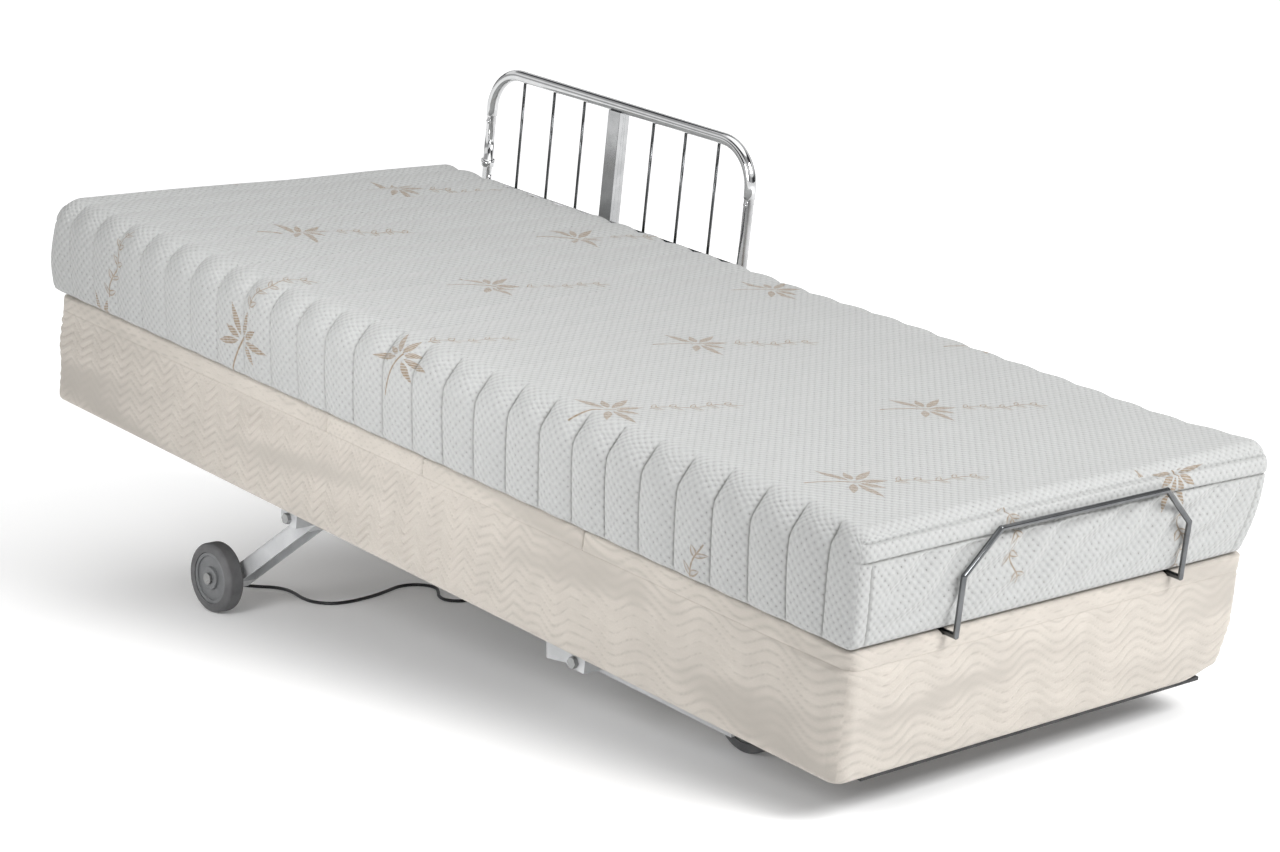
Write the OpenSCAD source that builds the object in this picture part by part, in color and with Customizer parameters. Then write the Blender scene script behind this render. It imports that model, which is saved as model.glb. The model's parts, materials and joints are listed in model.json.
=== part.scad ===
// Adjustable hospital bed: an upholstered base with a hinged deck, a folding lift gear on four
// wheels, a drop-down side rail and a sectioned mattress. Units are millimetres.
// The bed is drawn level in its own frame, x towards the foot, y towards the rail side and z up
// from the underside of the base, and is then stood on its wheels as the lift arms hold it.

/* [Base] */
// Length of the base
base_l = 1980; // [1900:10:2100]
// Width of the base
base_w = 890; // [850:10:950]
// Height of the base, with the deck panels
base_h = 200; // [190:5:215]
// Thickness of the upholstered boards round the base
wall_t = 18; // [15:1:22]
// Thickness of a deck panel
deck_t = 30; // [25:1:32]
// Radius of the upright corners
corner_r = 40; // [30:5:60]

/* [Mattress] */
// Thickness of the mattress
mattress_h = 176; // [150:2:200]
// Width of the mattress where its sides bulge
mattress_w = 930; // [900:5:940]
// How far the mattress reaches past the base at the head
head_overhang = 32; // [10:1:40]

/* [Deck] */
// Place of the back section's hinge
back_hinge_x = -190; // [-200:1:-180]
// Place of the thigh section's hinge
thigh_hinge_x = 60; // [55:1:65]
// Place of the knee hinge
knee_hinge_x = 440; // [430:1:450]

/* [Lift] */
// Distance of the arm pivots from the middle of the bed
pivot_x = 370; // [360:1:380]
// Depth of the arm pivots under the base
pivot_drop = 48; // [46:1:50]
// Length of a lift arm from pivot to axle
arm_l = 281; // [275:1:290]
// Slope of the head arms below the bed plane, at rest
head_arm_angle = 40; // [30:1:45]
// Slope of the foot arms below the bed plane, at rest
foot_arm_angle = 0; // [0:1:5]
// Wheel diameter
wheel_d = 125; // [120:1:130]
// Wheel width
wheel_w = 32; // [30:1:36]

/* [Side rail] */
// Height of the rail's top tube above the underside of the base
rail_top_z = 575; // [560:5:590]
// Distance between the rail's two legs
rail_l = 725; // [700:5:740]
// Place of the rail's post along the bed
rail_x = -563; // [-570:1:-555]
// Diameter of the rail tube
rail_d = 22; // [20:1:25]

/* [Mains lead] */
// Diameter of the lead
lead_d = 6; // [5:0.5:7]

/* [Hidden] */
$fn = 48;

// Overall
half_l = base_l / 2;
half_w = base_w / 2;
deck_z = base_h - deck_t;
ring_h = deck_z - 2;
deck_gap = 8;
mattress_z = base_h + 0.7;
mattress_foot_x = half_l + 10;
mattress_head_x = -half_l - head_overhang;

// Chassis tubes
chassis_z = 70;
chassis_h = 50;
chassis_y = 352;
chassis_t = 30;
beam_z = chassis_z + chassis_h;
beam_h = 26;
beam_w = 28;
rail_end_x = 960;
end_beam_x = [942, 972];
end_beam_y = 337;
cross_beam_xs = [-335, -100, -20, 165];
cross_beam_y = 367;
cleat_xs = [-700, 0, 700];
cleat_w = 40;
bearer_y = 250;
bearer_w = 20;
bearer_z = 148;
back_bearer_x = -950;
calf_bearer_x = 955;

// Edging under the boards: its size and how far in its middle runs
trim_h = 6;
trim_w = 26;
trim_in_y = 45;
trim_in_x = 20;
trim_side_x = 900;
trim_end_y = 385;

// Bolts of a headboard
bolt_y = 280;
bolt_zs = [82, 108];
bolt_r = 4.5;
bolt_clearance_r = 9;

// Deck hinges
hinge_z = base_h - 7;
knee_z = 159;
hinge_pin_r = 4;
lug_t = 6;
lug_r = 7;
lug_foot = 26;
lug_step = 7;
cross_tube_z = 122;
cross_tube_y = 262;
back_tube_x = [-246, -216];
thigh_tube_x = [95, 125];

// Mattress bends
hip_bend = 112;
lap_bend = 50;

// Lift gear
pivot_z = -pivot_drop;
arm_y = 305;
arm_w = 40;
arm_h = 30;
arm_top = 8;
heel_l = 120;
heel_flatter = 10;
torsion_x = -108;
torsion_r = 15;
pivot_bolt_r = 6;
bolt_head_r = 10;
arm_boss_r = 18;
arm_wall = 3;
arm_tip = 20;
axle_r = 6;
bracket_t = 5;
bracket_y = 17.5;
bracket_back_x = 23;
bracket_low_z = -60;
bracket_high_z = 112;
head_wheel_y = 356;
foot_wheel_y = 265;

// Actuators: a rod's pin stays on one line, and its crank turns past it
rod_r = 10;
rod_pin_r = 4;
tube_r = 22;
gearbox_l = 30;
motor_y = 46;
motor_r = 20;
crank_gap = 14.5;
crank_t = 5;
slot_w = 15;
head_gear_x = -21;
foot_gear_x = -19;
back_gear_x = 179;
knee_gear_x = -135;
lift_hanger_x = [-40, 0];
back_hanger_x = [151, 179];
knee_hanger_x = [-114, -86];
lift_rod_z = pivot_z + 115;
lift_rod_y = -110;
lift_slot_in = 107;
lift_slot_out = 145;
lift_mid_angle = 32.5;
lift_travel_per_degree = 125.3 * PI / 180;
deck_rod_z = 78;
back_rod_y = 70;
knee_rod_y = 190;
back_mid_angle = 30;
knee_mid_angle = 15;
back_travel_per_degree = 123 * PI / 180;
knee_travel_per_degree = 117 * PI / 180;
head_pin_x = -pivot_x - (head_arm_angle - lift_mid_angle) * lift_travel_per_degree;
foot_pin_x = pivot_x + (foot_arm_angle - lift_mid_angle) * lift_travel_per_degree;
back_pin_x = back_hinge_x + back_mid_angle * back_travel_per_degree;
knee_pin_x = thigh_hinge_x - knee_mid_angle * knee_travel_per_degree;

// Side rail
rail_y = 487;
rail_bend_r = 80;
rail_leg_z = 482;
rail_bar_z = 352;
rail_bar_low = 8;
rail_bar_high = 2;
rail_bar_t = 10;
leg_w = 22;
leg_t = 13;
collar_z = 380;
collar_h = 14;
collar_r = 13;
thin_bar_r = 2.75;
thin_bar_xs = [97, 184, 272];
post_w = 32;
post_t = 25;
post_low_z = 20;
receiver_wall = 2.5;
receiver_z = [10, 150];
knob_z = 80;
knob_end_y = 531;

// Mattress retainer
retainer_x = mattress_foot_x + 10;
retainer_r = 4.5;
retainer_in_x = 895;
retainer_foot_y = 255;
retainer_top_y = 188;
retainer_knee_z = 285;
retainer_top_z = 345;
retainer_z = base_h - 4;
groove_r = retainer_r + 0.3;

// How the arms stand the bed: its slope and its height
head_wheel_x = -pivot_x - arm_l * cos(head_arm_angle);
head_wheel_z = pivot_z - arm_l * sin(head_arm_angle);
foot_wheel_x = pivot_x + arm_l * cos(foot_arm_angle);
foot_wheel_z = pivot_z - arm_l * sin(foot_arm_angle);
pitch = atan((foot_wheel_z - head_wheel_z) / (foot_wheel_x - head_wheel_x));
lift = wheel_d / 2 + foot_wheel_x * sin(pitch) - foot_wheel_z * cos(pitch);
function stood_x(x, z) = x * cos(pitch) + z * sin(pitch);
centre_x = (stood_x(mattress_head_x, mattress_z)
    + stood_x(retainer_x + retainer_r, retainer_top_z)) / 2;
centre_y = (knob_end_y - mattress_w / 2) / 2;

// Mains lead, in the standing frame: from the gland down to the coil, then along the floor
lead_r = lead_d / 2;
coil_at = [-385, 148, 0];
coil_turn_r = 30;
coil_step = 6.4;
coil_layers = 3;
gland_at = [-333, 150, chassis_z + 2];
gland_l = 26;
drop_points = [
    [-359, 118, 297], [-361, 118, 280], [-361, 118, 255], [-360, 118, 220], [-358, 118, 180],
    [-356, 118, 140], [-355, 118, 100], [-355, 118, 70], [-355, 118, 46], [-355, 121, 32],
    [-355, 129, 22], [-355, 140, 17], [-355, 148, 16]
];
floor_points = [
    [-428, 148, 3], [-428, 125, 3], [-427, 95, 3], [-424, 65, 3], [-415, 35, 3],
    [-402, 10, 3], [-396, -15, 3], [-405, -38, 3], [-428, -48, 3], [-455, -40, 3],
    [-480, -22, 3], [-505, -6, 3], [-532, -4, 3], [-556, -20, 3], [-562, -48, 3],
    [-552, -80, 3], [-541, -115, 3], [-535, -150, 3], [-534, -185, 3], [-545, -215, 3],
    [-575, -231, 3], [-612, -229, 3], [-648, -219, 3], [-682, -213, 3], [-712, -219, 3],
    [-738, -236, 3], [-765, -250, 3], [-792, -257, 5], [-815, -258, 8], [-830, -258, 10]
];
plug_at = [-830, -258, 10];
plug_l = 42;

// Puts what is drawn in the bed's own frame onto its wheels
module stood() {
    translate([-centre_x, -centre_y, lift])
        rotate([0, pitch, 0])
            children();
}

module box(x, y, z) {
    translate([x[0], y[0], z[0]])
        cube([x[1] - x[0], y[1] - y[0], z[1] - z[0]]);
}

// A round bar along y, centred on y
module bar_y(x, y, z, r, l) {
    translate([x, y - l / 2, z])
        rotate([-90, 0, 0])
            cylinder(h = l, r = r);
}

module tube_x(x, y, z, t = 2.5) {
    difference() {
        box(x, y, z);
        box([x[0] - 1, x[1] + 1], [y[0] + t, y[1] - t], [z[0] + t, z[1] - t]);
    }
}

module tube_y(x, y, z, t = 2.5) {
    difference() {
        box(x, y, z);
        box([x[0] + t, x[1] - t], [y[0] - 1, y[1] + 1], [z[0] + t, z[1] - t]);
    }
}

// A rectangle with its own radius at the head end and at the foot end
module panel_outline(x0, x1, hw, r0, r1) {
    rect([x0 + r0, x1 - r1], [-hw, hw]);
    if (r0 > 0) end_outline(x0, hw, r0, 1);
    if (r1 > 0) end_outline(x1, hw, r1, -1);
}

module rect(x, y) {
    translate([x[0], y[0]])
        square([x[1] - x[0], y[1] - y[0]]);
}

module end_outline(x, hw, r, side) {
    rect(side > 0 ? [x, x + r] : [x - r, x], [-hw + r, hw - r]);
    for (s = [-1, 1])
        translate([x + side * r, s * (hw - r)])
            circle(r = r);
}

// Base

module base_side(side) {
    color("wheat")
        stood()
            box([-half_l + corner_r, half_l - corner_r],
                side > 0 ? [half_w - wall_t, half_w] : [-half_w, -half_w + wall_t], [0, ring_h]);
}

module base_end(side) {
    color("wheat")
        stood()
            difference() {
                linear_extrude(ring_h)
                    difference() {
                        panel_outline(-half_l, half_l, half_w, corner_r, corner_r);
                        panel_outline(-half_l + wall_t, half_l - wall_t, half_w - wall_t,
                            corner_r - wall_t, corner_r - wall_t);
                        rect(side > 0 ? [-base_l, half_l - corner_r] : [corner_r - half_l, base_l],
                            [-base_w, base_w]);
                    }
                if (side < 0)
                    for (y = [-bolt_y, bolt_y], z = bolt_zs)
                        translate([-half_l - 1, y, z])
                            rotate([0, 90, 0])
                                cylinder(h = wall_t + 2, r = bolt_clearance_r);
            }
}

module base_panel_near() { base_side(-1); }
module base_panel_far() { base_side(1); }
module base_panel_head() { base_end(-1); }
module base_panel_foot() { base_end(1); }

// A dark edging under the boards
module bottom_trim() {
    color("dimgray")
        stood()
            for (s = [-1, 1]) {
                mid_y = s * (half_w - trim_in_y);
                mid_x = s * (half_l - trim_in_x);
                box([-trim_side_x, trim_side_x], [mid_y - trim_w / 2, mid_y + trim_w / 2],
                    [-trim_h, 0]);
                box([mid_x - trim_w / 2, mid_x + trim_w / 2], [-trim_end_y, trim_end_y],
                    [-trim_h, 0]);
            }
}

// Chassis

module chassis_rails() {
    color("darkslategray")
        stood()
            for (s = [-1, 1])
                tube_x([-rail_end_x, rail_end_x],
                    [s * chassis_y - chassis_t / 2, s * chassis_y + chassis_t / 2],
                    [chassis_z, chassis_z + chassis_h]);
}

// The head beam takes the four bolts of a headboard
module chassis_beams() {
    color("darkslategray")
        stood() {
            difference() {
                tube_y([-end_beam_x[1], -end_beam_x[0]], [-end_beam_y, end_beam_y],
                    [chassis_z, chassis_z + chassis_h]);
                for (y = [-bolt_y, bolt_y], z = bolt_zs)
                    translate([-end_beam_x[1] - 1, y, z])
                        rotate([0, 90, 0])
                            cylinder(h = end_beam_x[1] - end_beam_x[0] + 2, r = bolt_r);
            }
            tube_y(end_beam_x, [-end_beam_y, end_beam_y], [chassis_z, chassis_z + chassis_h]);
            for (x = cross_beam_xs)
                tube_y([x - beam_w / 2, x + beam_w / 2], [-cross_beam_y, cross_beam_y],
                    [beam_z, beam_z + beam_h]);
            hanger(lift_hanger_x, lift_rod_y, lift_rod_z);
            hanger(back_hanger_x, back_rod_y, deck_rod_z);
            hanger(knee_hanger_x, knee_rod_y, deck_rod_z);
            for (s = [-1, 1], x = cleat_xs)
                box([x - cleat_w / 2, x + cleat_w / 2],
                    s > 0 ? [cross_beam_y, half_w - wall_t] : [wall_t - half_w, -cross_beam_y],
                    [chassis_z, chassis_z + chassis_h]);
        }
}

module hanger(x, y, rod_z) {
    box(x, [y - 15, y + 15], [rod_z + tube_r, beam_z]);
}

module pivot_brackets() {
    color("gainsboro")
        stood()
            for (sx = [-1, 1], sy = [-1, 1])
                translate([sx * pivot_x, sy * chassis_y, 0])
                    bracket();
}

// A channel that wraps the chassis rail, open towards the head
module bracket() {
    difference() {
        union() {
            for (s = [-1, 1])
                translate([0, s * bracket_y + bracket_t / 2, 0])
                    rotate([90, 0, 0])
                        linear_extrude(bracket_t)
                            bracket_outline();
            box([bracket_back_x - bracket_t, bracket_back_x],
                [-bracket_y - bracket_t / 2, bracket_y + bracket_t / 2],
                [bracket_low_z, chassis_z]);
        }
        bar_y(0, 0, pivot_z, pivot_bolt_r, 60);
    }
}

module bracket_outline() {
    toe_r = 12;
    toe_x = -10;
    rect([toe_x, bracket_back_x], [bracket_low_z, bracket_high_z]);
    rect([toe_x - toe_r, toe_x], [bracket_low_z + toe_r, bracket_high_z]);
    translate([toe_x, bracket_low_z + toe_r])
        circle(r = toe_r);
}

module pivot_bolts() {
    color("silver")
        stood()
            for (sx = [-1, 1], s = [-1, 1])
                translate([sx * pivot_x, 0, pivot_z])
                    rotate([s > 0 ? 90 : -90, 0, 0]) {
                        translate([0, 0, -374])
                            cylinder(h = 94, r = pivot_bolt_r);
                        translate([0, 0, -380])
                            cylinder(h = 8, r = bolt_head_r, $fn = 6);
                        translate([0, 0, -284.5])
                            cylinder(h = 7, r = bolt_head_r, $fn = 6);
                    }
}

// Deck sections

module deck_panel(x0, x1, r0, r1) {
    translate([0, 0, deck_z])
        linear_extrude(deck_t)
            panel_outline(x0, x1, half_w, r0, r1);
}

module back_panel() {
    color("wheat")
        stood()
            deck_panel(-half_l, back_hinge_x - deck_gap, corner_r, 0);
}

module seat_panel() {
    color("wheat")
        stood()
            deck_panel(back_hinge_x + deck_gap, thigh_hinge_x - deck_gap, 0, 0);
}

module thigh_panel() {
    color("wheat")
        stood()
            deck_panel(thigh_hinge_x + deck_gap, knee_hinge_x - deck_gap, 0, 0);
}

// The retainer's feet lie in two grooves in the top
module calf_panel() {
    color("wheat")
        stood()
            difference() {
                deck_panel(knee_hinge_x + deck_gap, half_l, 0, corner_r);
                for (s = [-1, 1]) {
                    translate([retainer_in_x - 5, s * retainer_foot_y, retainer_z])
                        rotate([0, 90, 0])
                            cylinder(h = 120, r = groove_r);
                    box([retainer_in_x - 5, half_l + 1],
                        [s * retainer_foot_y - groove_r, s * retainer_foot_y + groove_r],
                        [retainer_z, base_h + 1]);
                }
            }
}

// An upright lug in the gap between two panels, with its foot along the bearer
module gap_lug(x, side, z) {
    half = 6;
    rect([x - half, x + half], [z, hinge_z]);
    rect(side > 0 ? [x - half, x + lug_foot] : [x - lug_foot, x + half], [z, deck_z - 2]);
    translate([x, hinge_z])
        circle(r = lug_r);
}

module knee_lug(side) {
    rect(side > 0 ? [knee_hinge_x, knee_hinge_x + lug_foot]
            : [knee_hinge_x - lug_foot, knee_hinge_x],
        [knee_z - lug_r, knee_z + lug_r]);
    translate([knee_hinge_x, knee_z])
        circle(r = lug_r);
}

// The pair of plates of a clevis, or the one plate between them
module lug_plates(y, double) {
    for (dy = double ? [-lug_step, lug_step] : [0])
        translate([0, y + dy + lug_t / 2, 0])
            rotate([90, 0, 0])
                linear_extrude(lug_t)
                    children();
}

module hinge_bore(x, y, z, clearance) {
    bar_y(x, y, z, hinge_pin_r + clearance, 40);
}

module bearer(x, y, z) {
    tube_x(x, [y - bearer_w / 2, y + bearer_w / 2], z, 2);
}

module seat_bearers() {
    color("darkslategray")
        stood()
            for (s = [-1, 1])
                difference() {
                    union() {
                        bearer([back_hinge_x + deck_gap, thigh_hinge_x - deck_gap],
                            s * bearer_y, [beam_z + beam_h, deck_z]);
                        lug_plates(s * bearer_y, true)
                            gap_lug(back_hinge_x, 1, beam_z + beam_h);
                        lug_plates(s * bearer_y, true)
                            gap_lug(thigh_hinge_x, -1, beam_z + beam_h);
                    }
                    hinge_bore(back_hinge_x, s * bearer_y, hinge_z, 0);
                    hinge_bore(thigh_hinge_x, s * bearer_y, hinge_z, 0);
                }
}

module back_bearers() {
    color("darkslategray")
        stood()
            for (s = [-1, 1])
                difference() {
                    union() {
                        bearer([back_bearer_x, back_hinge_x - deck_gap], s * bearer_y,
                            [bearer_z, deck_z]);
                        lug_plates(s * bearer_y, false)
                            gap_lug(back_hinge_x, -1, bearer_z);
                    }
                    hinge_bore(back_hinge_x, s * bearer_y, hinge_z, 0.05);
                }
}

module thigh_bearers() {
    color("darkslategray")
        stood()
            for (s = [-1, 1])
                difference() {
                    union() {
                        bearer([thigh_hinge_x + deck_gap, knee_hinge_x - deck_gap],
                            s * bearer_y, [bearer_z, deck_z]);
                        lug_plates(s * bearer_y, false)
                            gap_lug(thigh_hinge_x, 1, bearer_z);
                        lug_plates(s * bearer_y, true)
                            knee_lug(-1);
                    }
                    hinge_bore(thigh_hinge_x, s * bearer_y, hinge_z, 0.05);
                    hinge_bore(knee_hinge_x, s * bearer_y, knee_z, 0);
                }
}

module calf_bearers() {
    color("darkslategray")
        stood()
            for (s = [-1, 1])
                difference() {
                    union() {
                        bearer([knee_hinge_x + deck_gap, calf_bearer_x], s * bearer_y,
                            [bearer_z, deck_z]);
                        lug_plates(s * bearer_y, false)
                            knee_lug(1);
                    }
                    hinge_bore(knee_hinge_x, s * bearer_y, knee_z, 0.05);
                }
}

module seat_hinge_pins() {
    color("silver")
        stood()
            for (s = [-1, 1], x = [back_hinge_x, thigh_hinge_x])
                bar_y(x, s * bearer_y, hinge_z, hinge_pin_r, 24);
}

module knee_hinge_pins() {
    color("silver")
        stood()
            for (s = [-1, 1])
                bar_y(knee_hinge_x, s * bearer_y, knee_z, hinge_pin_r, 24);
}

function polar(r, a) = [r * cos(a), r * sin(a)];

// Two plates astride a rod, with a long slot each for its pin
module crank_plates(y, outline_r, slot, slot_angle) {
    for (s = [-1, 1])
        translate([0, y + s * crank_gap + crank_t / 2, 0])
            rotate([90, 0, 0])
                linear_extrude(crank_t)
                    difference() {
                        polygon(outline_r);
                        rotate(slot_angle)
                            rect(slot, [-slot_w / 2, slot_w / 2]);
                    }
}

// Hangs from the back bearers: a cross tube and the crank of the back actuator
module back_crank() {
    a = back_mid_angle - 90;
    color("darkslategray")
        stood() {
            tube_y(back_tube_x, [-cross_tube_y, cross_tube_y], [cross_tube_z, bearer_z]);
            translate([back_hinge_x, 0, hinge_z])
                crank_plates(back_rod_y,
                    [[-56, -45], [-26, -45], polar(98, a + 10), polar(152, a + 8),
                        polar(152, a - 8), polar(98, a - 16), [-56, -71]],
                    [107, 143], a);
        }
}

module thigh_crank() {
    a = -90 - knee_mid_angle;
    color("darkslategray")
        stood() {
            tube_y(thigh_tube_x, [-cross_tube_y, cross_tube_y], [cross_tube_z, bearer_z]);
            translate([thigh_hinge_x, 0, hinge_z])
                crank_plates(knee_rod_y,
                    [[35, -45], [65, -45], [65, -71], polar(98, a + 16), polar(132, a + 8),
                        polar(132, a - 8), polar(98, a - 9)],
                    [107, 125], a);
        }
}

// Mattress: plain sections, with a bend block over each place that closes up

module mattress_block(x0, x1) {
    color("whitesmoke")
        stood()
            translate([0, 0, mattress_z])
                linear_extrude(mattress_h)
                    panel_outline(x0, x1, mattress_w / 2,
                        x0 == mattress_head_x ? 30 : 0, x1 == mattress_foot_x ? 30 : 0);
}

module mattress_back() { mattress_block(mattress_head_x, back_hinge_x - hip_bend); }
module mattress_hip_bend() { mattress_block(back_hinge_x - hip_bend, back_hinge_x + hip_bend); }
module mattress_seat() { mattress_block(back_hinge_x + hip_bend, thigh_hinge_x - lap_bend); }
module mattress_lap_bend() { mattress_block(thigh_hinge_x - lap_bend, thigh_hinge_x + lap_bend); }
module mattress_thigh() { mattress_block(thigh_hinge_x + lap_bend, knee_hinge_x); }
module mattress_calf() { mattress_block(knee_hinge_x, mattress_foot_x); }

// A straight rod between two points, with a ball at its far end that fills the corner
module rod(a, b, r, ball = true) {
    d = b - a;
    l = norm(d);
    translate(a)
        rotate([0, acos(d[2] / l), atan2(d[1], d[0])])
            cylinder(h = l, r = r);
    if (ball)
        translate(b)
            sphere(r = r + 0.15);
}

module mattress_retainer() {
    x = retainer_x;
    color("silver")
        stood() {
            for (s = [-1, 1]) {
                rod([retainer_in_x, s * retainer_foot_y, retainer_z],
                    [x, s * retainer_foot_y, retainer_z], retainer_r);
                rod([x, s * retainer_foot_y, retainer_z], [x, s * retainer_foot_y, retainer_knee_z],
                    retainer_r);
                rod([x, s * retainer_foot_y, retainer_knee_z],
                    [x, s * retainer_top_y, retainer_top_z], retainer_r);
            }
            rod([x, -retainer_top_y, retainer_top_z], [x, retainer_top_y, retainer_top_z],
                retainer_r, false);
        }
}

// Lift gear. Each end is drawn with x pointing out from the middle of the bed, from its pivot.

module lift_end(side) {
    translate([side * pivot_x, 0, pivot_z])
        if (side > 0)
            children();
        else
            mirror([1, 0, 0])
                children();
}

module heel_frame(angle) {
    rotate([0, angle - heel_flatter, 0])
        children();
}

module lift_arms(side, angle) {
    color("gainsboro")
        stood()
            lift_end(side)
                for (s = [-1, 1])
                    lift_arm(s * arm_y, angle);
}

// A point (x, z) turned down by an angle about the pivot
function turned(x, z, a) = [x * cos(a) + z * sin(a), z * cos(a) - x * sin(a)];

// A channel, open underneath, with a boss round the pivot
module lift_arm(y, angle) {
    mid = angle - heel_flatter / 2;
    up = arm_top / cos(heel_flatter / 2);
    down = (arm_top - arm_h) / cos(heel_flatter / 2);
    ys = [y - arm_w / 2, y + arm_w / 2];
    zs = [arm_top - arm_h, arm_top];
    difference() {
        union() {
            translate([0, ys[1], 0])
                rotate([90, 0, 0])
                    linear_extrude(arm_w)
                        polygon([
                            turned(arm_l + arm_tip, zs[0], angle),
                            turned(arm_l + arm_tip, zs[1], angle), turned(0, up, mid),
                            turned(-heel_l, zs[1], angle - heel_flatter),
                            turned(-heel_l, zs[0], angle - heel_flatter), turned(0, down, mid)
                        ]);
            bar_y(0, y, 0, arm_boss_r, arm_w - 2);
        }
        bar_y(0, y, 0, pivot_bolt_r + 0.05, arm_w + 2);
        rotate([0, angle, 0]) {
            box([30, arm_l - 14], [ys[0] + arm_wall, ys[1] - arm_wall], [zs[0] - 1, zs[1] - 4]);
            bar_y(arm_l, y, 0, axle_r, arm_w + 2);
        }
        heel_frame(angle)
            box([-90, -28], [ys[0] + arm_wall, ys[1] - arm_wall], [zs[0] - 1, zs[1] - 4]);
    }
}

module torsion_tube(side, angle) {
    slot_angle = 90 + lift_mid_angle - angle;
    heel = 180 - (angle - heel_flatter);
    color("gainsboro")
        stood()
            lift_end(side) {
                heel_frame(angle)
                    difference() {
                        bar_y(torsion_x, 0, arm_top - arm_h / 2, torsion_r, 2 * arm_y - arm_w);
                        bar_y(torsion_x, 0, arm_top - arm_h / 2, torsion_r - 3, 2 * arm_y);
                    }
                difference() {
                    crank_plates(lift_rod_y,
                        [polar(94, heel + 8), polar(126, heel + 8), polar(138, heel - 12),
                            polar(153, slot_angle + 8), polar(153, slot_angle - 7),
                            polar(97, slot_angle - 9), polar(97, slot_angle + 12),
                            polar(94, heel - 12)],
                        [lift_slot_in, lift_slot_out], slot_angle);
                    heel_frame(angle)
                        bar_y(torsion_x, 0, arm_top - arm_h / 2, torsion_r - 3, 2 * arm_y);
                }
            }
}

module wheel_axles(side, angle, wheel_y) {
    outboard = wheel_y > arm_y;
    near = outboard ? arm_y - arm_w / 2 : wheel_y - wheel_w / 2 - 2;
    far = outboard ? wheel_y + wheel_w / 2 + 2 : arm_y + arm_w / 2;
    color("silver")
        stood()
            lift_end(side)
                rotate([0, angle, 0])
                    for (s = [-1, 1]) {
                        bar_y(arm_l, s * (near + far) / 2, 0, axle_r, far - near);
                        bar_y(arm_l, s * (outboard ? far + 2 : near - 2), 0, 10, 4);
                    }
}

module head_lift_arms() { lift_arms(-1, head_arm_angle); }
module foot_lift_arms() { lift_arms(1, foot_arm_angle); }
module head_torsion_tube() { torsion_tube(-1, head_arm_angle); }
module foot_torsion_tube() { torsion_tube(1, foot_arm_angle); }
module head_wheel_axles() { wheel_axles(-1, head_arm_angle, head_wheel_y); }
module foot_wheel_axles() { wheel_axles(1, foot_arm_angle, foot_wheel_y); }

module at_wheel(side, angle, y) {
    stood()
        lift_end(side)
            rotate([0, angle, 0])
                translate([arm_l, y, 0])
                    rotate([90, 0, 0])
                        children();
}

module tyre() {
    round_r = 7;
    rim_r = 46;
    rotate_extrude($fn = 72) {
        rect([rim_r, wheel_d / 2 - round_r], [-wheel_w / 2, wheel_w / 2]);
        rect([rim_r, wheel_d / 2], [-wheel_w / 2 + round_r, wheel_w / 2 - round_r]);
        for (s = [-1, 1])
            translate([wheel_d / 2 - round_r, s * (wheel_w / 2 - round_r)])
                circle(r = round_r);
    }
}

module hub() {
    rotate_extrude($fn = 72) {
        rect([axle_r + 0.05, 20], [-wheel_w / 2, wheel_w / 2]);
        rect([20, 46], [-wheel_w / 2 + 6, wheel_w / 2 - 6]);
        rect([40, 46], [-wheel_w / 2 + 2, wheel_w / 2 - 2]);
    }
}

module head_wheel(y) { at_wheel(-1, head_arm_angle, y) children(); }
module foot_wheel(y) { at_wheel(1, foot_arm_angle, y) children(); }
module tyre_head_near() { color("dimgray") head_wheel(-head_wheel_y) tyre(); }
module tyre_head_far() { color("dimgray") head_wheel(head_wheel_y) tyre(); }
module tyre_foot_near() { color("dimgray") foot_wheel(-foot_wheel_y) tyre(); }
module tyre_foot_far() { color("dimgray") foot_wheel(foot_wheel_y) tyre(); }
module hub_head_near() { color("darkgray") head_wheel(-head_wheel_y) hub(); }
module hub_head_far() { color("darkgray") head_wheel(head_wheel_y) hub(); }
module hub_foot_near() { color("darkgray") foot_wheel(-foot_wheel_y) hub(); }
module hub_foot_far() { color("darkgray") foot_wheel(foot_wheel_y) hub(); }

// Actuators. A housing runs along +x from its gearbox to its open front.

module housing(x, y, z, l, side, inside_l) {
    translate([x, y, z])
        rotate([0, side > 0 ? 0 : 180, 0])
            difference() {
                union() {
                    box([0, gearbox_l], [-tube_r, tube_r], [-tube_r, tube_r]);
                    box([0, gearbox_l], [-68, -tube_r], [-tube_r, tube_r]);
                    translate([gearbox_l, 0, 0])
                        rotate([0, 90, 0])
                            cylinder(h = l - gearbox_l, r = tube_r);
                }
                translate([l - inside_l, 0, 0])
                    rotate([0, 90, 0])
                        cylinder(h = inside_l + 1, r = rod_r + 0.05);
            }
}

module lift_housings() {
    color("silver")
        stood() {
            housing(head_gear_x, lift_rod_y, lift_rod_z, 219, -1, 172);
            housing(foot_gear_x, lift_rod_y, lift_rod_z, 259, 1, 172);
        }
}

module profile_housings() {
    color("silver")
        stood() {
            housing(back_gear_x, back_rod_y, deck_rod_z, 264, -1, 186);
            housing(knee_gear_x, knee_rod_y, deck_rod_z, 125, 1, 92);
        }
}

module motor(x, y, z, side, l) {
    cap_r = 14;
    translate([x + side * gearbox_l, y - motor_y, z])
        rotate([0, side * 90, 0]) {
            cylinder(h = l - 8, r = motor_r);
            cylinder(h = l, r = cap_r);
        }
}

module actuator_motors() {
    color("dimgray")
        stood() {
            motor(head_gear_x, lift_rod_y, lift_rod_z, -1, 95);
            motor(foot_gear_x, lift_rod_y, lift_rod_z, 1, 95);
            motor(back_gear_x, back_rod_y, deck_rod_z, -1, 95);
            motor(knee_gear_x, knee_rod_y, deck_rod_z, 1, 90);
        }
}

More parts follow.
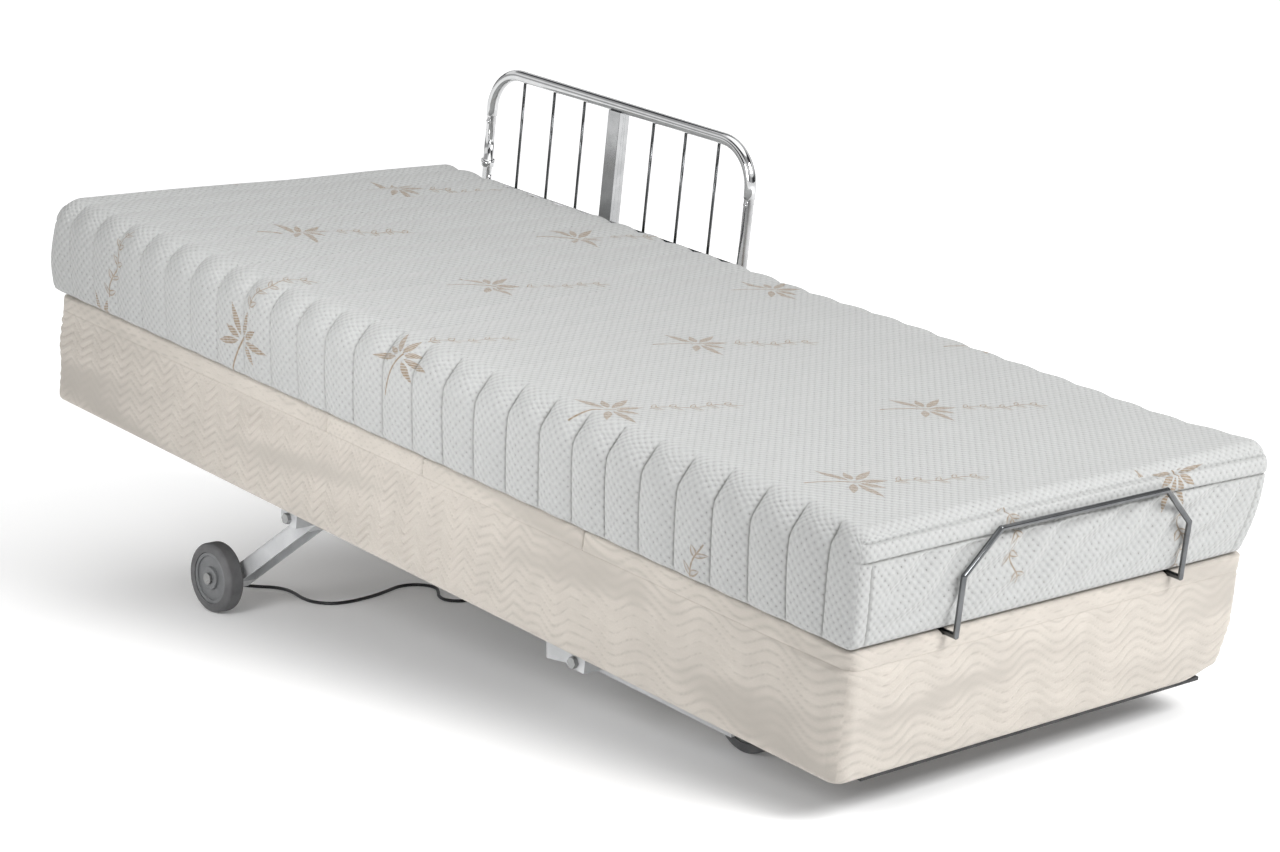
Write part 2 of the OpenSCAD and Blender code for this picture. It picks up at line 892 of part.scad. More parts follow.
// A rod from its crank pin back into its housing
module push_rod(pin_x, y, z, side, l) {
    color("silver")
        stood() {
            translate([pin_x - side * l, y, z])
                rotate([0, side * 90, 0])
                    cylinder(h = l + 8, r = rod_r);
            bar_y(pin_x, y, z, rod_pin_r, 44);
        }
}

module lift_rod_head() { push_rod(head_pin_x, lift_rod_y, lift_rod_z, -1, 222); }
module lift_rod_foot() { push_rod(foot_pin_x, lift_rod_y, lift_rod_z, 1, 222); }
module back_rod() { push_rod(back_pin_x, back_rod_y, deck_rod_z, -1, 195); }
module knee_rod() { push_rod(knee_pin_x, knee_rod_y, deck_rod_z, 1, 122); }

module control_box() {
    color("dimgray")
        stood() {
            box([-400, -270], [100, 220], [chassis_z + 2, chassis_z + 40]);
            box([-394, -276], [106, 214], [chassis_z + 40, beam_z]);
        }
}

// Mains lead

// A tapered strain relief under the control box
module cord_gland() {
    color("black")
        stood()
            translate(gland_at)
                rotate([180, 0, 0]) {
                    cylinder(h = 6, r = 9);
                    translate([0, 0, 6])
                        cylinder(h = gland_l - 6, r1 = 7, r2 = 4.2);
                }
}

function curve_point(a, b, c, d, t) =
    ((2 * b) + (c - a) * t + (2 * a - 5 * b + 4 * c - d) * t * t
        + (3 * b - a - 3 * c + d) * t * t * t) / 2;

function smooth(points, steps) = concat(
    [for (i = [0:len(points) - 2], k = [0:steps - 1])
        curve_point(points[max(i - 1, 0)], points[i], points[i + 1],
            points[min(i + 2, len(points) - 1)], k / steps)],
    [points[len(points) - 1]]);

function unit(v) = v / norm(v);

// A round cord along a smooth line. side_ref is never along the line.
module cord(line, side_ref) {
    sides = 8;
    n = len(line);
    points = [for (i = [0:n - 1])
        let (t = unit(line[min(i + 1, n - 1)] - line[max(i - 1, 0)]))
        let (u = unit(cross(side_ref, t)))
        let (v = cross(t, u))
        for (k = [0:sides - 1])
            line[i] + lead_r * (cos(k * 360 / sides) * u + sin(k * 360 / sides) * v)];
    faces = concat(
        [[for (k = [0:sides - 1]) k]],
        [[for (k = [0:sides - 1]) n * sides - 1 - k]],
        [for (i = [0:n - 2], k = [0:sides - 1])
            let (m = (k + 1) % sides)
            [i * sides + k, (i + 1) * sides + k, (i + 1) * sides + m, i * sides + m]]);
    polyhedron(points, faces, convexity = 10);
}

module mains_lead_drop() {
    color("black")
        cord(smooth(drop_points, 1), [1, 0, 0]);
}

module mains_lead() {
    color("black")
        cord(smooth(floor_points, 2), [0, 0, 1]);
}

module lead_coil() {
    color("black")
        translate(coil_at)
            rotate_extrude()
                rect([coil_turn_r - lead_r, coil_turn_r + 2 * coil_step + lead_r],
                    [0, (coil_layers - 1) * coil_step + lead_d]);
}

module mains_plug() {
    color("black")
        translate(plug_at) {
            box([-plug_l, -14], [-15, 15], [-10, 10]);
            rotate([0, -90, 0])
                cylinder(h = 14, r1 = 4.5, r2 = 8);
            for (s = [-1, 1])
                translate([-plug_l - 19, s * 9.5, 0])
                    rotate([0, 90, 0])
                        cylinder(h = 19, r = 2.4);
        }
}

// Side rail

module stadium(w, d) {
    rect([-w / 2 + d / 2, w / 2 - d / 2], [-d / 2, d / 2]);
    for (s = [-1, 1])
        translate([s * (w / 2 - d / 2), 0])
            circle(r = d / 2);
}

// The upper quarter of a ring about y, on one side
module quarter_bend(side, bend_r, r) {
    reach = bend_r + r + 1;
    intersection() {
        rotate([90, 0, 0])
            rotate_extrude()
                translate([bend_r, 0])
                    circle(r = r);
        box(side > 0 ? [0, reach] : [-reach, 0], [-r - 1, r + 1], [0, reach]);
    }
}

// The bent tube, its flattened legs and the bar across their lower ends
module rail_hoop() {
    color("silver")
        stood()
            translate([rail_x, rail_y, 0]) {
                translate([-rail_l / 2 + rail_bend_r, 0, rail_top_z])
                    rotate([0, 90, 0])
                        cylinder(h = rail_l - 2 * rail_bend_r, r = rail_d / 2);
                for (s = [-1, 1]) {
                    translate([s * (rail_l / 2 - rail_bend_r), 0, rail_top_z - rail_bend_r])
                        quarter_bend(s, rail_bend_r, rail_d / 2);
                    translate([s * rail_l / 2, 0, rail_leg_z])
                        cylinder(h = rail_top_z - rail_bend_r - rail_leg_z, r = rail_d / 2);
                    translate([s * rail_l / 2, 0, rail_bar_z - rail_bar_low])
                        linear_extrude(rail_leg_z - rail_bar_z + rail_bar_low)
                            stadium(leg_w, leg_t);
                    translate([s * rail_l / 2, -6, rail_leg_z - 12])
                        rotate([90, 0, 0])
                            cylinder(h = 3.5, r = 4.5);
                }
                translate([-rail_l / 2, 0, collar_z])
                    cylinder(h = collar_h, r = collar_r);
                for (s = [-1, 1])
                    box(s > 0 ? [post_w / 2, rail_l / 2] : [-rail_l / 2, -post_w / 2],
                        [-rail_bar_t / 2, rail_bar_t / 2],
                        [rail_bar_z - rail_bar_low, rail_bar_z + rail_bar_high]);
            }
}

module rail_post() {
    color("silver")
        stood()
            translate([rail_x, rail_y, 0])
                difference() {
                    box([-post_w / 2, post_w / 2], [-post_t / 2, post_t / 2],
                        [post_low_z, rail_top_z - 8]);
                    translate([-rail_l / 2, 0, rail_top_z])
                        rotate([0, 90, 0])
                            cylinder(h = rail_l, r = rail_d / 2);
                }
}

module rail_bars() {
    color("silver")
        stood()
            translate([rail_x, rail_y, 0])
                for (s = [-1, 1], dx = thin_bar_xs)
                    translate([s * dx, 0, rail_bar_z + rail_bar_high])
                        cylinder(h = rail_top_z - rail_d / 2 - rail_bar_z - rail_bar_high,
                            r = thin_bar_r);
}

module rail_receiver() {
    in_w = post_w + 1;
    in_t = post_t + 1;
    color("silver")
        stood()
            translate([rail_x, rail_y, 0])
                difference() {
                    union() {
                        box([-in_w / 2 - receiver_wall, in_w / 2 + receiver_wall],
                            [-in_t / 2 - receiver_wall, in_t / 2 + receiver_wall], receiver_z);
                        box([-50, 50], [half_w - rail_y, half_w - rail_y + 5],
                            [receiver_z[0] + 10, receiver_z[1] - 10]);
                        box([-15, 15], [half_w - rail_y + 5, -in_t / 2 - receiver_wall],
                            [receiver_z[0] + 20, receiver_z[1] - 20]);
                    }
                    box([-in_w / 2, in_w / 2], [-in_t / 2, in_t / 2],
                        [receiver_z[0] - 1, receiver_z[1] + 1]);
                    translate([0, 0, knob_z])
                        rotate([-90, 0, 0])
                            cylinder(h = 30, r = 4.05);
                }
}

module rail_lock_knob() {
    stem_y = post_t / 2 + 0.3;
    grip_y = post_t / 2 + 0.5 + receiver_wall + 3;
    color("dimgray")
        stood()
            translate([rail_x, rail_y, knob_z])
                rotate([-90, 0, 0]) {
                    translate([0, 0, stem_y])
                        cylinder(h = knob_end_y - rail_y - stem_y - 4, r = 4);
                    translate([0, 0, grip_y])
                        linear_extrude(knob_end_y - rail_y - grip_y)
                            union() {
                                circle(r = 18);
                                for (a = [0:60:300])
                                    rotate(a)
                                        translate([17, 0])
                                            circle(r = 6);
                            }
                }
}

base_panel_near();
base_panel_far();
base_panel_head();
base_panel_foot();
bottom_trim();
chassis_rails();
chassis_beams();
seat_bearers();
seat_hinge_pins();
pivot_brackets();
pivot_bolts();
seat_panel();
lift_housings();
profile_housings();
actuator_motors();
control_box();
cord_gland();
mains_lead_drop();
lead_coil();
mains_lead();
mains_plug();
rail_receiver();
mattress_seat();
mattress_hip_bend();
mattress_lap_bend();
back_panel();
back_bearers();
back_crank();
mattress_back();
thigh_panel();
thigh_bearers();
thigh_crank();
knee_hinge_pins();
mattress_thigh();
calf_panel();
calf_bearers();
mattress_calf();
mattress_retainer();
head_lift_arms();
head_torsion_tube();
head_wheel_axles();
foot_lift_arms();
foot_torsion_tube();
foot_wheel_axles();
tyre_head_near();
hub_head_near();
tyre_head_far();
hub_head_far();
tyre_foot_near();
hub_foot_near();
tyre_foot_far();
hub_foot_far();
lift_rod_head();
lift_rod_foot();
back_rod();
knee_rod();
rail_hoop();
rail_post();
rail_bars();
rail_lock_knob();
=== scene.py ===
"""The looks of the adjustable bed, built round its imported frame. Sizes are in metres.

Soft pieces are drawn in the bed's own frame, x towards the foot, y towards the rail, z up from
the underside of the base, and are then stood on the wheels by STAND.
"""

import json
import math

import bpy
import numpy as np
from mathutils import Matrix, Vector


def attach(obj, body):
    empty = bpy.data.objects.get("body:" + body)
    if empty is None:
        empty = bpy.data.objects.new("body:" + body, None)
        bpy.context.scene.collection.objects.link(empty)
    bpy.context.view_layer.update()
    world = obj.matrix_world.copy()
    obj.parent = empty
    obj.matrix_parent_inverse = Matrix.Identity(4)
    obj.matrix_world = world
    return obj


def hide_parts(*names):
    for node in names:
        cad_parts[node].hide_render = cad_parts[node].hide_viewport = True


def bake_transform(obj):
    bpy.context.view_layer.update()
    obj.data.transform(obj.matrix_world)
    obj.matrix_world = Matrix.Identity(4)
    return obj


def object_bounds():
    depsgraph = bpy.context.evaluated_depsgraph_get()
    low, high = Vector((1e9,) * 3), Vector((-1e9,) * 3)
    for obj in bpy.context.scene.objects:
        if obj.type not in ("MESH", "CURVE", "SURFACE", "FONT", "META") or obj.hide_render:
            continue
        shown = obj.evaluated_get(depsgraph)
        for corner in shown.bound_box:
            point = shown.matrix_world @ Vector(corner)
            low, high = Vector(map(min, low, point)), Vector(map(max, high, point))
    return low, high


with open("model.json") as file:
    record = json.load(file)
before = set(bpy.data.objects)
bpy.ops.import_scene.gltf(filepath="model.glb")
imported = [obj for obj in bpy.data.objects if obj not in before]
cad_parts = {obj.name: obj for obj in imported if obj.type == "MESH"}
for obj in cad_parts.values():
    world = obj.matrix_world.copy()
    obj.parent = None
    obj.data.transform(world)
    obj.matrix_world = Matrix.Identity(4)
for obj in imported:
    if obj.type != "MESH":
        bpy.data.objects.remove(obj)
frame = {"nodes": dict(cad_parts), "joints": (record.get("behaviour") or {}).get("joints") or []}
CAD_BOX = [list(corner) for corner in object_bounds()]
NODES = frame["nodes"]
JOINTS = {joint["name"]: joint for joint in frame["joints"]}

# The bed's own frame
BACK_HINGE = Vector((-0.19, 0.0, 0.193))
UP = Vector(JOINTS["rail_drop"]["axis"]).normalized()
ALONG = Vector((0, 1, 0)).cross(UP)
TURN = Matrix((ALONG, Vector((0, 1, 0)), UP)).transposed()
STAND = Matrix.Translation(
    Vector(JOINTS["back_raise"]["pos_m"]) - TURN @ BACK_HINGE
) @ TURN.to_4x4()

# Base and deck: the boards, the joint between them and the deck, and the deck's top
HALF_L, HALF_W = 0.99, 0.445
BOARD_H, BOARD_T = 0.168, 0.018
JOINT_Z, DECK_TOP = 0.1694, 0.200
CORNER_R = 0.022
# Each panel's head end and foot end. At the sides the cloth reaches PANEL_LAP further, and meets
# its neighbour's. Further in there is room for the hinges.
PANEL_ENDS = {
    "seat": (-0.174, 0.044),
    "back": (-0.99, -0.206),
    "thigh": (0.076, 0.424),
    "calf": (0.456, 0.99),
}
PANEL_LAP = 0.0157

# Mattress: its pieces meet at two of the quilting lines, which stand CHANNEL apart
HEAD_X, FOOT_X = -1.022, 1.0
MAT_W, MAT_LOW, MAT_H = 0.465, 0.2007, 0.176
MAT_TOP = MAT_LOW + MAT_H
CHANNEL, CHANNEL_AT = 0.0752, 0.9375
PIECE_CUTS = (CHANNEL_AT - 13 * CHANNEL, CHANNEL_AT - 9 * CHANNEL)


# ---------------------------------------------------------------- camera

CAMERA_AT = (3.6989, -3.4037, 1.3338)
CAMERA_WAY = (-0.71965, 0.66856, -0.18745)
LENS, SENSOR_WIDTH, FAR_CLIP = 85.41, 36.0, 200.0

cam_data = bpy.data.cameras.new("camera")
cam_data.lens = LENS
cam_data.sensor_width = SENSOR_WIDTH
cam_data.clip_end = FAR_CLIP
cam = bpy.data.objects.new("camera", cam_data)
bpy.context.scene.collection.objects.link(cam)
cam.location = CAMERA_AT
cam.rotation_mode = "QUATERNION"
cam.rotation_quaternion = Vector(CAMERA_WAY).to_track_quat("-Z", "Y")
bpy.context.scene.camera = cam
bpy.context.scene.view_settings.view_transform = "Standard"


# ---------------------------------------------------------------- node helpers


class Nodes:
    """Short ways to add and join the nodes of one tree."""

    def __init__(self, tree):
        self.tree = tree

    def add(self, kind, **values):
        node = self.tree.nodes.new(kind)
        for name, value in values.items():
            setattr(node, name, value)
        return node

    def put(self, value, socket):
        if isinstance(value, bpy.types.NodeSocket):
            self.tree.links.new(value, socket)
        elif value is not None:
            socket.default_value = value

    def math(self, op, a, b=None):
        node = self.add("ShaderNodeMath", operation=op)
        self.put(a, node.inputs[0])
        self.put(b, node.inputs[1])
        return node.outputs[0]

    def vector(self, op, a, b=None, scale=None):
        node = self.add("ShaderNodeVectorMath", operation=op)
        self.put(a, node.inputs[0])
        self.put(b, node.inputs[1])
        self.put(scale, node.inputs[3])
        return node.outputs[1 if op in ("DOT_PRODUCT", "LENGTH") else 0]

    def noise(self, where, scale, detail, rough=0.5):
        node = self.add("ShaderNodeTexNoise")
        self.put(where, node.inputs["Vector"])
        node.inputs["Scale"].default_value = scale
        node.inputs["Detail"].default_value = detail
        node.inputs["Roughness"].default_value = rough
        return node.outputs[0]

    def mapped(self, value, lo, hi, to_lo=0.0, to_hi=1.0):
        node = self.add("ShaderNodeMapRange", interpolation_type="SMOOTHSTEP")
        self.put(value, node.inputs[0])
        for k, number in enumerate((lo, hi, to_lo, to_hi)):
            node.inputs[k + 1].default_value = number
        return node.outputs[0]

    def mix(self, share, a, b):
        node = self.add("ShaderNodeMix", data_type="RGBA")
        self.put(share, node.inputs[0])
        self.put(a, node.inputs[6])
        self.put(b, node.inputs[7])
        return node.outputs[2]

    def split(self, vector):
        node = self.add("ShaderNodeSeparateXYZ")
        self.put(vector, node.inputs[0])
        return node.outputs

    def join(self, x, y, z=0.0):
        node = self.add("ShaderNodeCombineXYZ")
        for k, value in enumerate((x, y, z)):
            self.put(value, node.inputs[k])
        return node.outputs[0]

    def bump(self, height, strength, distance):
        node = self.add("ShaderNodeBump")
        node.inputs["Strength"].default_value = strength
        node.inputs["Distance"].default_value = distance
        self.put(height, node.inputs["Height"])
        return node.outputs[0]


def material(name, **sockets):
    """A material with one Principled shader, and the helper for its tree."""
    mat = bpy.data.materials.new(name)
    mat.use_nodes = True
    shader = mat.node_tree.nodes["Principled BSDF"]
    for socket, value in sockets.items():
        shader.inputs[socket.replace("_", " ")].default_value = value
    return mat, Nodes(mat.node_tree), shader


def rgba(r, g, b):
    return (r, g, b, 1.0)


# ---------------------------------------------------------------- fabric materials


# The knit's puffs, from one to the next along and across the cloth, and its colours. The dimples' colour is
# painted shade.
PUFF_U, PUFF_V = 0.0145, 0.0155
KNIT_DIMPLE_SHADE, KNIT_HIGH = rgba(0.37, 0.375, 0.375), rgba(0.44, 0.445, 0.44)
KNIT_FUZZ, KNIT_SHADE = rgba(0.31, 0.315, 0.31), rgba(0.37, 0.375, 0.37)
PIN_DOT, PIN_DOT_SHARE = rgba(0.17, 0.15, 0.125), 0.62
LEAF_BROWN = rgba(0.23, 0.165, 0.10)
# Dark stitch lines, with painted shade of the creases and grooves they run along
STITCH_AND_CREASE_SHADE, STITCH_AND_SHADE_SHARE = rgba(0.24, 0.24, 0.225), 0.6


def knit():
    """White quilted knit: fine cells with painted shade in their dimples, sparse brown pin dots and woven
    leaf sprigs, all on the UVs.
    """
    mat, n, shader = material("mattress_knit", Roughness=0.88, Sheen_Weight=0.25, Sheen_Roughness=0.45)
    uv = n.add("ShaderNodeUVMap", uv_map="UVMap").outputs[0]
    u, v, _ = n.split(uv)
    # Puffs on a staggered lattice, with a pin dot in some of the dimples between them
    ripple = n.math(
        "MULTIPLY",
        n.math("COSINE", n.math("MULTIPLY", u, 2 * math.pi / PUFF_U)),
        n.math("COSINE", n.math("MULTIPLY", v, 2 * math.pi / PUFF_V)),
    )
    fuzz = n.noise(uv, 700.0, 3.0, 0.6)
    soft = n.noise(uv, 9.0, 2.0)
    dimple = n.mapped(ripple, -0.99, -0.84, 1.0, 0.0)
    dot = n.math("MULTIPLY", dimple, n.mapped(n.noise(uv, 140.0, 1.0), 0.36, 0.64))
    leaves = sprigs(n, uv)
    stitch_and_shade = n.add("ShaderNodeAttribute", attribute_name="stitch_and_shade").outputs["Fac"]
    # Painted shade: the dimples between the puffs are darker and the puffs lighter
    colour = n.mix(n.mapped(ripple, -1.0, 0.5), KNIT_DIMPLE_SHADE, KNIT_HIGH)
    colour = n.mix(n.mapped(fuzz, 0.35, 0.65, 0.5, 0.0), colour, KNIT_FUZZ)
    colour = n.mix(n.mapped(soft, 0.3, 0.7, 0.0, 0.35), colour, KNIT_SHADE)
    colour = n.mix(n.math("MULTIPLY", dot, PIN_DOT_SHARE), colour, PIN_DOT)
    colour = n.mix(leaves, colour, LEAF_BROWN)
    # Stitch lines, partly painted crease shade
    colour = n.mix(n.math("MULTIPLY", stitch_and_shade, STITCH_AND_SHADE_SHARE), colour, STITCH_AND_CREASE_SHADE)
    n.put(colour, shader.inputs["Base Color"])
    height = n.math("ADD", n.math("MULTIPLY", ripple, 0.5), n.math("MULTIPLY", fuzz, 0.35))
    height = n.math("SUBTRACT", height, dot)
    height = n.math("ADD", height, n.math("MULTIPLY", leaves, 0.35))
    n.put(n.bump(height, strength=0.85, distance=0.0016), shader.inputs["Normal"])
    return mat


# The sprigs stand on a slanting lattice over the cloth, and lean. SPRIG_SCALE under 1 makes them larger.
SPRIG_AT = (-0.193, -0.052)
SPRIG_A, SPRIG_B = (0.418, 0.088), (0.209, -0.384)
SPRIG_LEAN, SPRIG_SCALE = math.radians(73), 0.80
# The burst: how far behind the middle, its leaves' turn, start, reach, half width and hatching
BURST_BACK = 0.045
LEAF_TURN, FIRST_LEAF, LAST_LEAF = 2 * math.pi / 9, -3.5, 3.5
LEAF_START, LEAF_REACH, REACH_VARIES, LEAF_HALF = 0.007, 0.040, 0.011, 0.0056
HATCH = 0.0042
# The stalk: its two ends and how far it bows
STALK_ENDS, STALK_BOW = (-0.062, 0.008), 0.006
# The vine: its start, length and waves, and its slim leaves' spacing, direction and size
VINE_AT, VINE_LENGTH, VINE_WAVE, VINE_SWAY = 0.052, 0.125, 0.075, 0.004
SLIM_GAP, SLIM_WAY, SLIM_REACH, SLIM_HALF, SLIM_HOLE = 0.025, (0.62, 0.78), 0.0205, 0.0042, 0.0024


def on_sprig(n, uv):
    """A point's place on the nearest sprig."""
    det = SPRIG_A[0] * SPRIG_B[1] - SPRIG_A[1] * SPRIG_B[0]
    away = n.vector("SUBTRACT", uv, (*SPRIG_AT, 0.0))
    s = n.vector("DOT_PRODUCT", away, (SPRIG_B[1] / det, -SPRIG_B[0] / det, 0.0))
    t = n.vector("DOT_PRODUCT", away, (-SPRIG_A[1] / det, SPRIG_A[0] / det, 0.0))
    s = n.math("SUBTRACT", s, n.math("ROUND", s))
    t = n.math("SUBTRACT", t, n.math("ROUND", t))
    near = n.vector(
        "ADD",
        n.vector("SCALE", (*SPRIG_A, 0.0), scale=s),
        n.vector("SCALE", (*SPRIG_B, 0.0), scale=t),
    )
    c, d = SPRIG_SCALE * math.cos(SPRIG_LEAN), SPRIG_SCALE * math.sin(SPRIG_LEAN)
    x = n.vector("DOT_PRODUCT", near, (c, d, 0.0))
    y = n.vector("DOT_PRODUCT", near, (-d, c, 0.0))
    return n.math("ADD", x, BURST_BACK), y


def burst(n, x, y):
    """Hatched leaves round a point, each of its own length."""
    turn = n.math("DIVIDE", n.math("ARCTAN2", y, x), LEAF_TURN)
    which = n.math("ROUND", turn)
    off = n.math("MULTIPLY", n.math("SUBTRACT", turn, which), LEAF_TURN)
    r = n.vector("LENGTH", n.join(x, y))
    varied = n.math("MULTIPLY", n.math("SINE", n.math("MULTIPLY", which, 2.3)), REACH_VARIES)
    reach = n.math("ADD", LEAF_REACH, varied)
    along = n.math("DIVIDE", n.math("SUBTRACT", r, LEAF_START), reach)
    shape = leaf(n, along, n.math("MULTIPLY", r, n.math("SINE", off)), LEAF_HALF)
    shape = n.math("MULTIPLY", shape, between(n, which, FIRST_LEAF, LAST_LEAF))
    slant = n.math("ADD", x, n.math("MULTIPLY", y, 0.6))
    stripes = n.math("SINE", n.math("MULTIPLY", slant, 2 * math.pi / HATCH))
    return n.math("MULTIPLY", shape, n.mapped(stripes, -0.75, 0.1, 0.35, 1.0))


def stalk(n, x, y):
    """The bowed stalk under the burst."""
    bow = n.math("ADD", y, n.math("MULTIPLY", n.math("SINE", n.math("MULTIPLY", x, 34.0)), STALK_BOW))
    line = n.mapped(n.math("ABSOLUTE", bow), 0.0009, 0.0017, 1.0, 0.0)
    return n.math("MULTIPLY", line, between(n, x, *STALK_ENDS))


def vine(n, x, y):
    """Pairs of slim open leaves along a wavy stem."""
    x = n.math("SUBTRACT", x, VINE_AT)
    wave = n.math("MULTIPLY", n.math("SINE", n.math("MULTIPLY", x, 2 * math.pi / VINE_WAVE)), VINE_SWAY)
    y = n.math("SUBTRACT", n.math("ADD", y, VINE_SWAY), wave)
    side = n.math("ABSOLUTE", y)
    stem = n.mapped(side, 0.0007, 0.0015, 1.0, 0.0)
    step = n.math("MULTIPLY", n.math("FRACT", n.math("DIVIDE", x, SLIM_GAP)), SLIM_GAP)
    c, d = SLIM_WAY
    along = n.math("ADD", n.math("MULTIPLY", step, c), n.math("MULTIPLY", side, d))
    along = n.math("DIVIDE", along, SLIM_REACH)
    across = n.math("SUBTRACT", n.math("MULTIPLY", side, c), n.math("MULTIPLY", step, d))
    across = n.math("ADD", across, 0.004)
    hole = n.math("MULTIPLY", leaf(n, along, across, SLIM_HOLE), 0.8)
    open_leaf = n.math("SUBTRACT", leaf(n, along, across, SLIM_HALF), hole)
    return n.math("MULTIPLY", n.math("MAXIMUM", stem, open_leaf), between(n, x, 0.0, VINE_LENGTH))


def sprigs(n, uv):
    """How much of the point is leaf print: a burst of hatched leaves on a stalk, and a vine beside it."""
    x, y = on_sprig(n, uv)
    faint_vine = n.math("MULTIPLY", vine(n, x, y), 0.85)
    whole = n.math("MAXIMUM", burst(n, x, y), n.math("MAXIMUM", stalk(n, x, y), faint_vine))
    return n.math("MULTIPLY", whole, n.mapped(n.noise(uv, 160.0, 2.0), 0.25, 0.6, 0.62, 0.95))


def leaf(n, along, across, half):
    """One inside a leaf outline: along runs 0 to 1, and half is its half width."""
    inside = n.math("MINIMUM", n.math("MAXIMUM", along, 0.0), 1.0)
    swell = n.math("SINE", n.math("MULTIPLY", n.math("POWER", inside, 0.85), math.pi))
    wide = n.math("MULTIPLY", swell, half)
    return n.mapped(n.math("SUBTRACT", wide, n.math("ABSOLUTE", across)), 0.0, 0.0007)


def between(n, value, lo, hi):
    return n.math("MULTIPLY", n.math("GREATER_THAN", value, lo), n.math("LESS_THAN", value, hi))


CREAM = (0.49, 0.452, 0.407)
THREAD = 0.0021


def cream(name):
    """Cream upholstery: a matt brushed weave with soft mottling, and painted shade in the hollows of its
    relief.
    """
    mat, n, shader = material(name, Roughness=0.84, Sheen_Weight=0.35, Sheen_Roughness=0.5)
    shader.inputs["Sheen Tint"].default_value = rgba(1.0, 0.96, 0.9)
    shade, pale, hollow_shade = (rgba(*(share * c for c in CREAM)) for share in (0.94, 1.05, 0.70))
    uv = n.add("ShaderNodeUVMap", uv_map="UVMap").outputs[0]
    u, v, _ = n.split(uv)
    mottle = n.noise(uv, 14.0, 4.0, 0.6)
    fine = n.noise(uv, 520.0, 3.0, 0.65)
    weave = n.math(
        "MULTIPLY",
        n.math("SINE", n.math("MULTIPLY", u, 2 * math.pi / THREAD)),
        n.math("SINE", n.math("MULTIPLY", v, 2 * math.pi / THREAD)),
    )
    lift = n.add("ShaderNodeAttribute", attribute_name="emboss").outputs["Fac"]
    colour = n.mix(n.mapped(mottle, 0.3, 0.7), shade, pale)
    # Painted shade in the hollows of the relief; the fine grain's low points get a little of the same colour
    colour = n.mix(n.mapped(lift, 0.45, 0.0, 0.0, 0.7), colour, hollow_shade)
    colour = n.mix(n.mapped(fine, 0.62, 0.42, 0.0, 0.22), colour, hollow_shade)
    n.put(colour, shader.inputs["Base Color"])
    height = n.math("ADD", n.math("MULTIPLY", fine, 0.8), n.math("MULTIPLY", weave, 0.25))
    n.put(n.bump(height, strength=0.55, distance=0.0009), shader.inputs["Normal"])
    return mat


# ---------------------------------------------------------------- hard materials

GRAIN_DEPTH = 0.0003


def hard(name, colour, second, rough, metal, grain, bump):
    """Painted, plated or moulded stuff: mottled colour, uneven roughness and a fine grain."""
    mat, n, shader = material(name, Metallic=metal)
    where = n.add("ShaderNodeTexCoord").outputs["Object"]
    mottle = n.noise(where, 26.0, 4.0, 0.6)
    speck = n.noise(where, grain, 3.0, 0.6)
    n.put(n.mix(n.mapped(mottle, 0.3, 0.7), rgba(*colour), rgba(*second)), shader.inputs["Base Color"])
    n.put(n.mapped(mottle, 0.25, 0.75, rough * 0.85, rough * 1.2), shader.inputs["Roughness"])
    n.put(n.bump(speck, bump, GRAIN_DEPTH), shader.inputs["Normal"])
    return mat


KNIT = knit()
BASE_CLOTH = cream("base_fabric")
DECK_CLOTH = cream("deck_fabric")
CHROME = hard(
    "chrome", (0.66, 0.665, 0.67), (0.58, 0.585, 0.59), rough=0.07, metal=1.0, grain=60.0, bump=0.04
)
BAR_STEEL = hard(
    "bar_steel", (0.17, 0.175, 0.18), (0.12, 0.125, 0.13), rough=0.16, metal=1.0, grain=200.0, bump=0.06
)
POST_STEEL = hard(
    "post_steel", (0.46, 0.465, 0.47), (0.38, 0.385, 0.39), rough=0.2, metal=1.0, grain=320.0, bump=0.1
)
ZINC = hard(
    "zinc_plate", (0.38, 0.38, 0.375), (0.29, 0.295, 0.295), rough=0.3, metal=1.0, grain=300.0, bump=0.12
)
SILVER_PAINT = hard(
    "lift_steel_paint", (0.66, 0.67, 0.68), (0.59, 0.60, 0.61), rough=0.42, metal=0.15, grain=700.0, bump=0.2
)
DARK_PAINT = hard(
    "chassis_steel_paint", (0.035, 0.04, 0.045), (0.025, 0.028, 0.032),
    rough=0.5, metal=0.1, grain=600.0, bump=0.25,
)
RUBBER = hard(
    "tyre_rubber", (0.145, 0.145, 0.148), (0.11, 0.11, 0.113), rough=0.62, metal=0.0, grain=420.0, bump=0.3
)
HUB_PLASTIC = hard(
    "hub_plastic", (0.20, 0.205, 0.21), (0.165, 0.17, 0.175), rough=0.42, metal=0.0, grain=500.0, bump=0.15
)
BLACK_PLASTIC = hard(
    "black_plastic", (0.018, 0.018, 0.019), (0.028, 0.028, 0.03),
    rough=0.45, metal=0.0, grain=420.0, bump=0.3,
)
HOUSING = hard(
    "housing_grey", (0.30, 0.31, 0.32), (0.26, 0.27, 0.28), rough=0.45, metal=0.0, grain=380.0, bump=0.25
)
LEAD = hard(
    "lead_sheath", (0.014, 0.014, 0.015), (0.022, 0.022, 0.024), rough=0.4, metal=0.0, grain=240.0, bump=0.1
)
TRIM = hard(
    "under_trim", (0.05, 0.05, 0.052), (0.035, 0.035, 0.037), rough=0.7, metal=0.0, grain=500.0, bump=0.3
)


# ---------------------------------------------------------------- mesh helpers


def new_object(name, data):
    obj = bpy.data.objects.new(name, data)
    bpy.context.scene.collection.objects.link(obj)
    return obj


